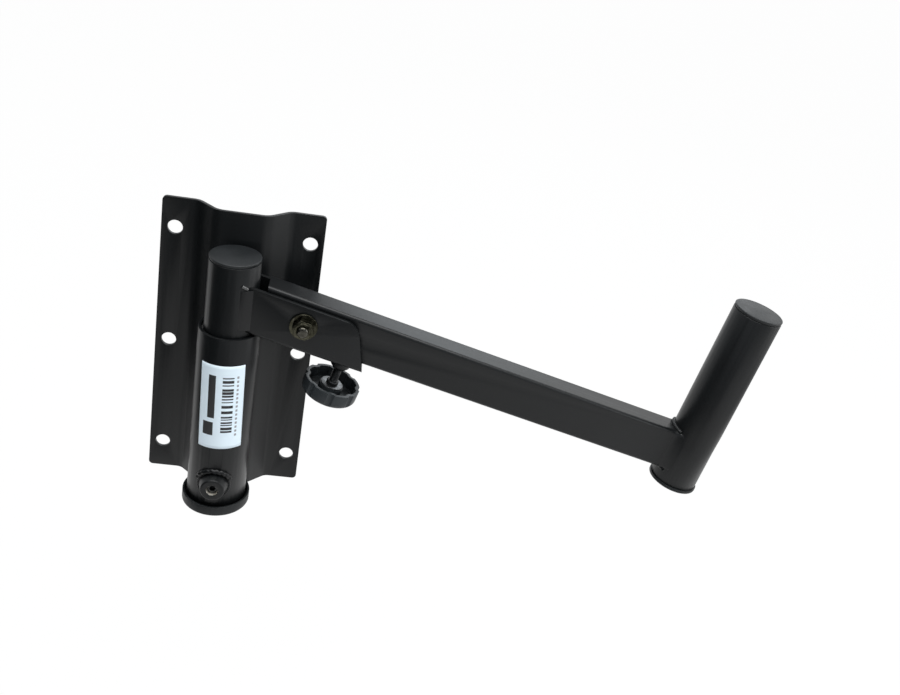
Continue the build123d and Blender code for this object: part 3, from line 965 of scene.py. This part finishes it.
@dataclass(frozen=True)
class Thread:
    """Sizes of a screw thread, in metres."""

    radius: float
    pitch: float
    length: float
    depth: float
    end: float = 0.5 * MM

    def cut(self, name: str, finish: Finish) -> Mesh:
        """Makes the threaded rod about +Z, from the origin up.

        Args:
            name: Name of the work.
            finish: The finish that the tree sets.

        Returns:
            The mesh of the rod.
        """
        values = {
            "Length": self.length,
            "Radius": self.radius,
            "Pitch": self.pitch,
            "Depth": self.depth,
            "End": self.end,
            "Finish": finish.material(),
        }
        return grown(bpy.data.meshes.new(name), thread_tree(), values)


def lathe(outline: Sequence[tuple[float, float]], steps: int = 64) -> BMesh:
    """Turns an outline about +Z into a closed skin.

    Args:
        outline: Pairs of radius and height, from the lower pole to the upper one.
        steps: How many faces round.

    Returns:
        The skin, its faces pointing outwards.
    """
    work = bmesh.new()
    rings = []
    for radius, height in outline:
        if radius == 0:
            rings.append([work.verts.new((0, 0, height))])
            continue
        angles = (TURN * i / steps for i in range(steps))
        places = ((radius * math.cos(a), radius * math.sin(a), height) for a in angles)
        rings.append([work.verts.new(place) for place in places])
    for low, high in zip(rings, rings[1:]):
        for i in range(steps):
            j = (i + 1) % steps
            places = ((low, i), (low, j), (high, j), (high, i))
            corners = [ring[k % len(ring)] for ring, k in places]
            work.faces.new(list(dict.fromkeys(corners)))
    for face in work.faces:
        face.smooth = True
    bmesh.ops.recalc_face_normals(work, faces=work.faces)
    return work


def rim_moved(
    foot: Vector,
    axis: Vector,
    height: float,
    radius: float,
    inward: float = 0.0,
    down: float = 0.0,
) -> Reshape:
    """Makes a reshape that moves one round edge of a piece.

    Args:
        foot: A point on the edge's axis.
        axis: Direction of that axis, upwards.
        height: Height of the edge above the foot.
        radius: Its radius.
        inward: How far its vertices move towards the axis.
        down: How far they move down along the axis.

    Returns:
        The reshape for the piece's mesh.
    """

    def move(work: BMesh) -> None:
        """Moves the vertices that lie on the edge.

        Args:
            work: The piece's mesh.
        """
        for vertex in work.verts:
            away = vertex.co - foot
            rise = away.dot(axis)
            out = away - axis * rise
            if abs(rise - height) < RIM_MARGIN and abs(out.length - radius) < RIM_MARGIN:
                vertex.co -= out.normalized() * inward + axis * down

    return move


@dataclass
class WallUnit:
    """The plate, the upright tube and what is fixed to them."""

    tube_radius: float = 21 * MM
    boss_height: float = -80.5 * MM
    boss_radius: float = 10.5 * MM
    bore_radius: float = 4.3 * MM
    sticker_width: float = 29 * MM
    sticker_height: float = 66.2 * MM
    sticker_x: float = 0.6 * MM
    sticker_z: float = -16 * MM
    sticker_turn: float = math.radians(1.4)
    sticker_gap: float = 0.05 * MM
    sticker_thickness: float = 0.2 * MM
    sticker_columns: int = 48
    sticker_rows: int = 24
    bead_end_gap: float = 8 * MM
    bead_length: float = 30 * MM
    bead_aside: float = 8.2 * MM
    bead_proud: float = 2.0 * MM
    tube_top: float = 37 * MM
    tube_bottom: float = -103 * MM
    tube_run: Bead = Bead(radius=2.7 * MM)
    boss_run: Bead = Bead(radius=1.15 * MM, pitch=1.5 * MM, ripple=0.18 * MM, unevenness=0.25 * MM)
    boss_run_gap: float = 0.3 * MM
    boss_run_lift: float = 0.1 * MM
    boss_crown: Bead = Bead(radius=2.1 * MM, pitch=3.4 * MM, ripple=0.35 * MM, unevenness=0.7 * MM)
    boss_crown_gap: float = 1.5 * MM
    crown_turn: tuple[float, float] = (22, 136)

    def build(self) -> None:
        """Builds and dresses every piece of the unit."""
        softened("wall_plate", Body.WALL, COAT, 0.55 * MM, 3)
        softened("wall_tube", Body.WALL, COAT, 0.35 * MM, 2)
        softened("foot_cap", Body.WALL, CAP_PLASTIC, 0.35 * MM, 3)
        softened("base_disc", Body.WALL, COAT, 0.3 * MM)
        softened("lower_bush", Body.WALL, BUSH_PLASTIC, 0.2 * MM)
        softened("upper_bush", Body.WALL, BUSH_PLASTIC, 0.3 * MM)
        self.boss()
        self.tube_beads()
        self.boss_bead()
        self.sticker()

    def boss(self) -> None:
        """Dresses the lock boss, whose bore is bare metal."""
        boss = softened("lock_boss", Body.WALL, COAT, 0.12 * MM)
        boss.data.materials.append(BORE_STEEL.material())
        centre = Vector((0, self.boss_height))
        off_axis = [(vertex.co.xz - centre).length for vertex in boss.data.vertices]
        for face in boss.data.polygons:
            inside = max(off_axis[i] for i in face.vertices) < self.bore_radius
            face.material_index = 1 if inside else 0

    def tube_beads(self) -> None:
        """Lays the four upright beads between the tube and the plate."""
        steps = 12
        feet = (
            self.tube_bottom + self.bead_end_gap,
            self.tube_top - self.bead_end_gap - self.bead_length,
        )
        paths = []
        for side in Side:
            for foot in feet:
                x, y = -side.value * self.bead_aside, PLACES.raised_face - self.bead_proud
                heights = (foot + self.bead_length * i / steps for i in range(steps + 1))
                paths.append([Vector((x, y, z)) for z in heights])
        mesh = self.tube_run.lay("tube_welds", paths)
        settle("tube_weld_beads", mesh, Body.WALL, BEAD_COAT, "tube_welds")

    def round_boss(self, ring: float, reach: float, turns: Sequence[float]) -> list[Vector]:
        """Gives points of a ring round the boss, laid on a cylinder about the tube's axis.

        Args:
            ring: Radius of the ring.
            reach: Radius of the cylinder.
            turns: Angle of each point round the boss.

        Returns:
            The points.
        """
        points = []
        for turn in turns:
            x, z = ring * math.cos(turn), self.boss_height + ring * math.sin(turn)
            points.append(PLACES.round_tube(reach, math.asin(x / reach), z))
        return points

    def boss_bead(self) -> None:
        """Lays the bead round the foot of the lock boss, and a second one over its top."""
        run_steps, crown_steps = 72, 32
        turns = [TURN * i / run_steps for i in range(run_steps)]
        ring, reach = self.boss_radius + self.boss_run_gap, self.tube_radius + self.boss_run_lift
        run = self.round_boss(ring, reach, turns)
        first, sweep = self.crown_turn
        turns = [math.radians(first + sweep * i / crown_steps) for i in range(crown_steps + 1)]
        crown = self.round_boss(self.boss_radius + self.boss_crown_gap, self.tube_radius, turns)
        run_mesh = self.boss_run.lay("boss_weld", [run], closed=True)
        work = opened(run_mesh, self.boss_crown.lay("boss_crown", [crown]))
        mesh = emptied(work, "boss_weld")
        settle("boss_weld_bead", mesh, Body.WALL, BEAD_COAT, "boss_weld")

    def sticker(self) -> None:
        """Wraps the printed film round the tube, with a UV map for its print."""
        columns, rows = self.sticker_columns, self.sticker_rows
        reach = self.tube_radius + self.sticker_gap + self.sticker_thickness
        cosine, sine = math.cos(self.sticker_turn), math.sin(self.sticker_turn)
        work = bmesh.new()
        print_map = work.loops.layers.uv.new("print")
        spots, places = [], {}
        for row in range(rows + 1):
            line = []
            for column in range(columns + 1):
                across, upward = column / columns, row / rows
                flat_x = (across - 0.5) * self.sticker_width
                flat_z = (upward - 0.5) * self.sticker_height
                x = self.sticker_x + flat_x * cosine - flat_z * sine
                z = self.sticker_z + flat_x * sine + flat_z * cosine
                spot = work.verts.new(PLACES.round_tube(reach, math.asin(x / reach), z))
                places[spot] = (across, upward)
                line.append(spot)
            spots.append(line)
        for lower, upper in zip(spots, spots[1:]):
            for i in range(columns):
                face = work.faces.new((lower[i], lower[i + 1], upper[i + 1], upper[i]))
                face.smooth = True
                for loop in face.loops:
                    loop[print_map].uv = places[loop.vert]
        worker = new_object("sticker_work", emptied(work, "sticker"))
        depth = worker.modifiers.new("film", "SOLIDIFY")
        depth.thickness = self.sticker_thickness
        depth.offset = -1
        settle("sticker_film", baked(worker), Body.WALL, STICKER, "label")


@dataclass
class SwivelUnit:
    """The post that turns in the tube, and the clevis with its bolt."""

    post_radius: float = 17.5 * MM
    cap_seat: float = 87.5 * MM
    cap_seam: float = 0.6 * MM
    ear_face: float = 13.3 * MM
    ear_top: float = 12.5 * MM
    bolt_bare_end: float = 1.0 * MM
    bead_on_post: float = 4.7 * MM
    stop_rise: float = 2.4 * MM
    stop_fall: float = 3.0 * MM
    stop_proud: float = 0.3 * MM
    stop_from_toe: float = 0.4 * MM
    stop_before_ear: float = 0.6 * MM
    stop: Bead = Bead(radius=1.3 * MM, ripple=0.05 * MM, unevenness=0.15 * MM)

    def build(self) -> None:
        """Builds and dresses every piece of the unit."""
        softened("swivel_post", Body.SWIVEL, COAT, 0.3 * MM)
        seat = Vector((0, PLACES.tube_y, self.cap_seat))
        seam = rim_moved(seat, UP, 0.0, self.post_radius, inward=self.cap_seam)
        softened("post_cap", Body.SWIVEL, CAP_PLASTIC, 0.3 * MM, 3, reshape=seam)
        softened("clevis", Body.SWIVEL, COAT, 0.35 * MM, 3)
        softened("screw_boss", Body.SWIVEL, COAT, 0.2 * MM)
        self.bolt()
        softened("pivot_washers", Body.SWIVEL, DARK_ZINC, 0.25 * MM, 3)
        softened("pivot_nut", Body.SWIVEL, DARK_ZINC, 0.18 * MM)
        self.clevis_beads()

    def bolt(self) -> None:
        """Dresses the pivot bolt, whose cut end is bare metal."""
        bolt = softened("pivot_bolt", Body.SWIVEL, DARK_ZINC, 0.15 * MM)
        bolt.data.materials.append(BOLT_END.material())
        front = min(vertex.co.y for vertex in bolt.data.vertices)
        for face in bolt.data.polygons:
            if face.center.y < front + self.bolt_bare_end:
                face.material_index = 1

    def clevis_beads(self) -> None:
        """Dresses the beads between the ears and the post, each with a lump where it stops."""
        beads = softened("clevis_welds", Body.SWIVEL, BEAD_COAT, 0.3 * MM, 3)
        steps = 6
        meets = math.sqrt(self.post_radius**2 - self.ear_face**2)
        top = PLACES.on_arm(meets, self.ear_top).z + self.stop_rise
        toe = meets - self.bead_on_post + self.stop_from_toe
        toe_out = math.sqrt(self.post_radius**2 - toe**2)
        ear_out = self.ear_face + self.stop_proud
        paths = []
        for side in Side:
            on_post = Vector((toe, PLACES.tube_y - side.value * toe_out, top))
            ear_y = PLACES.tube_y - side.value * ear_out
            on_ear = Vector((meets - self.stop_before_ear, ear_y, top - self.stop_fall))
            paths.append([on_post.lerp(on_ear, i / steps) for i in range(steps + 1)])
        # The lumps get the lighter, glossier copy of the coat, a painted highlight.
        beads.data.materials.append(GLINT_COAT.material())
        work = opened(beads.data)
        first = len(work.faces)
        work.from_mesh(self.stop.lay("bead_stops", paths))
        work.faces.ensure_lookup_table()
        for face in work.faces[first:]:
            face.material_index = 1
        work.to_mesh(beads.data)
        work.free()


@dataclass
class ArmUnit:
    """The arm, its pivot sleeve and the speaker pin with its caps."""

    half_width: float = 10 * MM
    half_depth: float = 16 * MM
    cap_seat: float = 118.5 * MM
    cap_seam: float = 0.6 * MM
    root_radius: float = 17.2 * MM
    seat_height: float = 21.5 * MM
    seat_blend: float = 13 * MM
    side_fillet: float = 15 * MM
    side_steps: int = 10
    sunk: float = 2.5 * MM
    corner: float = 2.5 * MM
    corner_turns: tuple[float, ...] = (25, 45, 65, 80)
    inset: float = 1.5 * MM
    crease: float = math.radians(30)
    bead: Bead = Bead(radius=1.7 * MM, ripple=0.2 * MM, unevenness=0.35 * MM)
    bead_lift: float = 0.2 * MM
    bead_short: float = 0.4 * MM

    def build(self) -> None:
        """Builds and dresses every piece of the unit."""
        softened("arm_tube", Body.ARM, COAT, 0.1 * MM)
        softened("pivot_sleeve", Body.ARM, BARE_STEEL, 0.2 * MM)
        pin = (PLACES.on_arm(PLACES.pin_distance, 0), PLACES.pin_axis)
        cone = rim_moved(*pin, self.seat_height, self.root_radius, down=self.seat_blend)
        softened("speaker_pin", Body.ARM, COAT, 0.3 * MM, reshape=cone)
        seam = rim_moved(*pin, self.cap_seat, PLACES.pin_radius, inward=self.cap_seam)
        softened("pin_top_cap", Body.ARM, CAP_PLASTIC, 0.3 * MM, 3, reshape=seam)
        softened("pin_bottom_cap", Body.ARM, CAP_PLASTIC, 0.2 * MM, 3)
        self.pin_beads()

    def side_welds(self, work: BMesh) -> None:
        """Adds the smoothed welds that fill the corners between the arm's sides and the pin.

        Args:
            work: The mesh of the pin's welds.
        """
        bend, radius, width = self.side_fillet, self.root_radius, self.half_width
        back = math.sqrt((radius + bend) ** 2 - (width + bend) ** 2)
        sweep = math.pi / 2 - math.atan2(width + bend, back)
        inner = self.inset - math.sqrt(radius**2 - width**2)
        flat = self.half_depth - self.corner
        turns = [math.radians(turn) for turn in self.corner_turns]
        rounded = [flat + self.corner * math.sin(turn) for turn in turns]
        heights = [-height for height in reversed(rounded)] + [-flat, 0.0, flat] + rounded
        for side in Side:
            grid = []
            for height in heights:
                into_corner = max(0.0, abs(height) - flat)
                drop = self.corner - math.sqrt(self.corner**2 - into_corner**2)
                axis = self.pin_axis_at(height)
                line = []
                for j in range(self.side_steps + 1):
                    turn = sweep * j / self.side_steps - math.pi / 2
                    reach = bend * math.cos(turn) - back
                    aside = side.value * (width + bend + bend * math.sin(turn) - drop)
                    line.append(work.verts.new(PLACES.on_arm(axis + reach, height, aside)))
                aside = side.value * (width - self.sunk)
                line.append(work.verts.new(PLACES.on_arm(axis + inner, height, aside)))
                grid.append(line)
            made = []
            for low, high in zip(grid, grid[1:]):
                for j in range(len(low)):
                    k = (j + 1) % len(low)
                    made.append(work.faces.new((low[j], low[k], high[k], high[j])))
            made += [work.faces.new(grid[0]), work.faces.new(grid[-1])]
            bmesh.ops.recalc_face_normals(work, faces=made)
            for face in made:
                face.smooth = True
                for edge in face.edges:
                    edge.smooth = edge.calc_face_angle(0.0) < self.crease

    def pin_axis_at(self, height: float) -> float:
        """Tells how far along the arm the leaning pin's axis is at a height."""
        return PLACES.pin_distance - height * math.tan(PLACES.pin_lean)

    def pin_beads(self) -> None:
        """Lays the beads across the arm's top and bottom, and fills the corners at its sides."""
        half_steps = 8
        paths = []
        for side in Side:
            height = -side.value * (self.half_depth + self.bead_lift)
            path = []
            for i in range(2 * half_steps + 1):
                aside = (i / half_steps - 1) * (self.half_width - self.bead_short)
                reach = math.sqrt(PLACES.pin_radius**2 - aside**2) / math.cos(PLACES.pin_lean)
                distance = self.pin_axis_at(height) - reach - self.bead_lift
                path.append(PLACES.on_arm(distance, height, aside))
            paths.append(path)
        work = opened(self.bead.lay("pin_welds", paths))
        self.side_welds(work)
        settle("pin_weld_beads", emptied(work, "pin_welds"), Body.ARM, COAT, "pin_welds")


@dataclass
class TiltScrewUnit:
    """The tilt screw and the knob that turns it."""

    distance: float = 86.5 * MM
    end: float = -48.0 * MM
    collar_foot: float = -42.45 * MM
    collar_height: float = 2.45 * MM
    collar_radius: float = 4.3 * MM
    collar_edge: float = 0.5 * MM
    thread: Thread = Thread(
        radius=3.0 * MM, pitch=1.0 * MM, length=31.95 * MM, depth=0.5 * MM, end=2.8 * MM
    )

    def build(self) -> None:
        """Builds and dresses every piece of the unit."""
        softened("knob_insert", Body.KNOB, INSERT_STEEL, 0.2 * MM)
        softened("tilt_knob", Body.KNOB, KNOB_PLASTIC, 0.7 * MM, 3)
        self.screw()

    def screw(self) -> None:
        """Cuts the threaded rod and puts its collar on."""
        high, radius, edge = self.collar_height, self.collar_radius, self.collar_edge
        lower = [(0, 0.0), (radius - edge, 0.0), (radius, edge)]
        work = lathe(lower + [(radius, high - edge), (radius - edge, high), (0, high)])
        bmesh.ops.translate(work, verts=work.verts, vec=(0, 0, self.collar_foot - self.end))
        work.from_mesh(self.thread.cut("tilt_screw", ROD_ZINC))
        work.transform(placed(PLACES.on_arm(self.distance, self.end), PLACES.up, PLACES.along))
        mesh = emptied(work, "tilt_screw")
        settle("tilt_screw_thread", mesh, Body.SCREW, ROD_ZINC, "tilt_screw")


@dataclass
class GrubScrewUnit:
    """The screw that locks the post."""

    def build(self) -> None:
        """Builds and dresses the screw."""
        softened("lock_screw", Body.GRUB_SCREW, ROD_ZINC, 0.12 * MM)


@dataclass(frozen=True)
class Lamp:
    """A soft rectangular lamp."""

    name: str
    place: tuple[float, float, float]
    width: float
    depth: float
    power: float
    colour: Colour = (1.0, 1.0, 1.0)
    target: tuple[float, float, float] = (0.15, -0.04, 0.0)

    def hang(self) -> None:
        """Puts the lamp up and aims it."""
        light = bpy.data.lights.new(self.name, "AREA")
        light.shape = "RECTANGLE"
        light.size = self.width
        light.size_y = self.depth
        light.energy = self.power
        light.color = self.colour
        made = bpy.data.objects.new(self.name, light)
        made.location = self.place
        aim = Vector(self.target) - Vector(self.place)
        made.rotation_euler = aim.to_track_quat("-Z", "Y").to_euler()
        made.visible_camera = False
        bpy.context.scene.collection.objects.link(made)


def staged_sheet(
    name: str, corners: Sequence[Sequence[float]], grey: float, roughness: float = 0.9
) -> bpy.types.Object:
    """Puts a flat matt sheet into the studio.

    Args:
        name: Name of the sheet.
        corners: Its four corners in order.
        grey: How light its grey is.
        roughness: How matt it is.

    Returns:
        The sheet.
    """
    mesh = bpy.data.meshes.new(name)
    mesh.from_pydata(corners, [], [(0, 1, 2, 3)])
    material = new_material("studio_" + name)
    surface = Wiring(material.node_tree).find("BSDF_PRINCIPLED")
    surface.inputs["Base Color"].default_value = opaque((grey,) * 3)
    surface.inputs["Roughness"].default_value = roughness
    mesh.materials.append(material)
    made = new_object(name, mesh)
    return made


@dataclass(frozen=True)
class Card:
    """A black card that darkens reflections on one side and that the camera doesn't see."""

    name: str
    first: tuple[float, float]
    last: tuple[float, float]
    top: float
    grey: float = 0.01

    def stand(self, level: float) -> None:
        """Stands the card on the floor.

        Args:
            level: Height of the floor.
        """
        foot = [(*self.first, level), (*self.last, level)]
        corners = foot + [(*self.last, self.top), (*self.first, self.top)]
        staged_sheet(self.name, corners, self.grey).visible_camera = False


@dataclass(frozen=True)
class Shade:
    """A soft-edged area of the floor that shows darker than white in reflections."""

    across: tuple[float, float]
    ahead: tuple[float, float]
    depth: float
    soft: float

    def mask(self, wire: Wiring, x: Value, y: Value) -> Socket:
        """Makes the mask of the area.

        Args:
            wire: Wiring of the floor's material.
            x: Coordinate along the wall.
            y: Coordinate into the wall.

        Returns:
            The socket that is the shade's depth inside the area and 0 outside.
        """
        level: Value = self.depth
        for value, (low, high) in ((x, self.across), (y, self.ahead)):
            rising = wire.span(value, low - self.soft, low, 0.0, 1.0)
            falling = wire.span(value, high, high + self.soft, 1.0, 0.0)
            level = wire.math("MULTIPLY", wire.math("MULTIPLY", level, rising), falling)
        return level


@dataclass
class Studio:
    """The white floor, the lamps, the world and the camera."""

    floor_drop: float = 0.22
    floor_reach: float = 12.0
    floor_grey: float = 0.86
    floor_seen: float = 0.97
    room_colour: Colour = (0.9, 0.95, 1.0)
    room_light: float = 0.58
    backdrop_behind: tuple[float, float] = (-0.3, 0.5)
    backdrop_right: tuple[float, float] = (-0.6, 0.2)
    backdrop_left_share: float = 0.3
    yaw: float = math.radians(7.31)
    pitch: float = math.radians(24.21)
    roll: float = math.radians(-10.33)
    camera_place: tuple[float, float, float] = (0.0642, -0.6665, 0.3745)
    lens: float = 40.996
    sensor: float = 36.0
    shift_x: float = -0.0022
    shift_y: float = -0.0729
    clip: tuple[float, float] = (0.01, 50.0)

    def build(self) -> None:
        """Builds the studio."""
        level = CAD_BOX[0].z - self.floor_drop
        self.floor(level)
        Card("left_card", (-0.45, -1.0), (-0.45, 0.06), 0.3).stand(level)
        self.world()
        for lamp in (
            Lamp("back_softbox", (0.7, 1.65, 0.95), 1.1, 0.7, 5.0, (0.86, 0.94, 1.0)),
            Lamp("overhead_softbox", (0.15, -0.3, 1.5), 1.6, 1.2, 30.0),
            Lamp("right_softbox", (1.5, -0.2, 0.5), 0.8, 1.2, 8.0),
        ):
            lamp.hang()
        self.camera()
        bpy.context.scene.view_settings.view_transform = "Standard"

    @staticmethod
    def white_background(
        wire: Wiring, shader: Socket, seen: float, mirrored: Value, dimmed: Value = 0.0
    ) -> Socket:
        """Mixes a plain white glow into a shader for the rays that see the background.

        Args:
            wire: Wiring of the material or the world.
            shader: The shader that lights the object.
            seen: Share of the glow where the background is seen straight or through glass.
            mirrored: Share of the glow where the background is seen in a reflection.
            dimmed: How much darker than white the glow is there.

        Returns:
            The mixed shader.
        """
        rays = wire.node("ShaderNodeLightPath").outputs
        straight = wire.math("MAXIMUM", rays["Is Camera Ray"], rays["Is Transmission Ray"])
        shade = wire.math("MULTIPLY", rays["Is Glossy Ray"], dimmed)
        strength = wire.math("SUBTRACT", 1.0, shade)
        glow = wire.node("ShaderNodeEmission", opaque((1.0, 1.0, 1.0)), strength).outputs[0]
        in_mirror = wire.math("MULTIPLY", rays["Is Glossy Ray"], mirrored)
        in_sight = wire.math("MULTIPLY", straight, seen)
        share = wire.math("MAXIMUM", in_sight, in_mirror)
        return wire.node("ShaderNodeMixShader", share, shader, glow).outputs[0]

    def floor(self, level: float) -> None:
        """Lays the white floor under the part.

        Args:
            level: Height of the floor.
        """
        reach = self.floor_reach
        signs = ((-1, -1), (1, -1), (1, 1), (-1, 1))
        corners = [(reach * across, reach * ahead, level) for across, ahead in signs]
        made = staged_sheet("floor", corners, self.floor_grey)
        wire = Wiring(made.data.materials[0].node_tree)
        x, y = wire.parts(wire.node("ShaderNodeTexCoord").outputs["Object"])[:2]
        dimmed: Value = 0.0
        for shade in (
            Shade((-reach, 0.25), (-reach, -0.98), 0.95, 0.14),
            Shade((0.95, 1.5), (-0.3, 0.3), 0.5, 0.2),
            Shade((-0.4, -0.2), (-0.4, -0.25), 0.5, 0.1),
        ):
            dimmed = wire.math("MAXIMUM", dimmed, shade.mask(wire, x, y))
        matt = wire.find("BSDF_PRINCIPLED").outputs[0]
        lit = self.white_background(wire, matt, self.floor_seen, 1.0, dimmed)
        wire.feed(wire.find("OUTPUT_MATERIAL").inputs["Surface"], lit)

    def world(self) -> None:
        """Sets the even light of the room."""
        world = bpy.data.worlds.new("studio")
        bpy.context.scene.world = world
        world.use_nodes = True
        wire = Wiring(world.node_tree)
        back = wire.find("BACKGROUND")
        back.inputs["Color"].default_value = opaque(self.room_colour)
        back.inputs["Strength"].default_value = self.room_light
        x, y = wire.parts(wire.node("ShaderNodeTexCoord").outputs["Generated"])[:2]
        behind = wire.span(y, *self.backdrop_behind, 0.0, 1.0)
        sideways = wire.span(x, *self.backdrop_right, self.backdrop_left_share, 1.0)
        backdrop = wire.math("MULTIPLY", behind, sideways)
        lit = self.white_background(wire, back.outputs[0], 1.0, backdrop)
        wire.feed(wire.find("OUTPUT_WORLD").inputs["Surface"], lit)

    def camera(self) -> None:
        """Sets the camera at the photograph's place."""
        forward = Vector((math.sin(self.yaw), math.cos(self.yaw), 0))
        ahead = forward * math.cos(self.pitch) - UP * math.sin(self.pitch)
        level = Vector((math.cos(self.yaw), -math.sin(self.yaw), 0))
        down = ahead.cross(level)
        right = level * math.cos(self.roll) + down * math.sin(self.roll)
        below = down * math.cos(self.roll) - level * math.sin(self.roll)
        data = bpy.data.cameras.new("camera")
        data.lens = self.lens
        data.sensor_width = self.sensor
        data.shift_x = self.shift_x
        data.shift_y = self.shift_y
        data.clip_start, data.clip_end = self.clip
        made = bpy.data.objects.new("camera", data)
        turned = Matrix((right, -below, -ahead)).transposed().to_4x4()
        made.matrix_world = Matrix.Translation(Vector(self.camera_place)) @ turned
        bpy.context.scene.collection.objects.link(made)
        bpy.context.scene.camera = made


def main() -> None:
    """Builds the bracket's units in order, then the studio."""
    logging.basicConfig(level=logging.INFO, format="%(name)s: %(message)s")
    for unit in (WallUnit(), GrubScrewUnit(), SwivelUnit(), ArmUnit(), TiltScrewUnit(), Studio()):
        log.info("building %s", type(unit).__name__)
        unit.build()


if __name__ == "__main__":
    main()
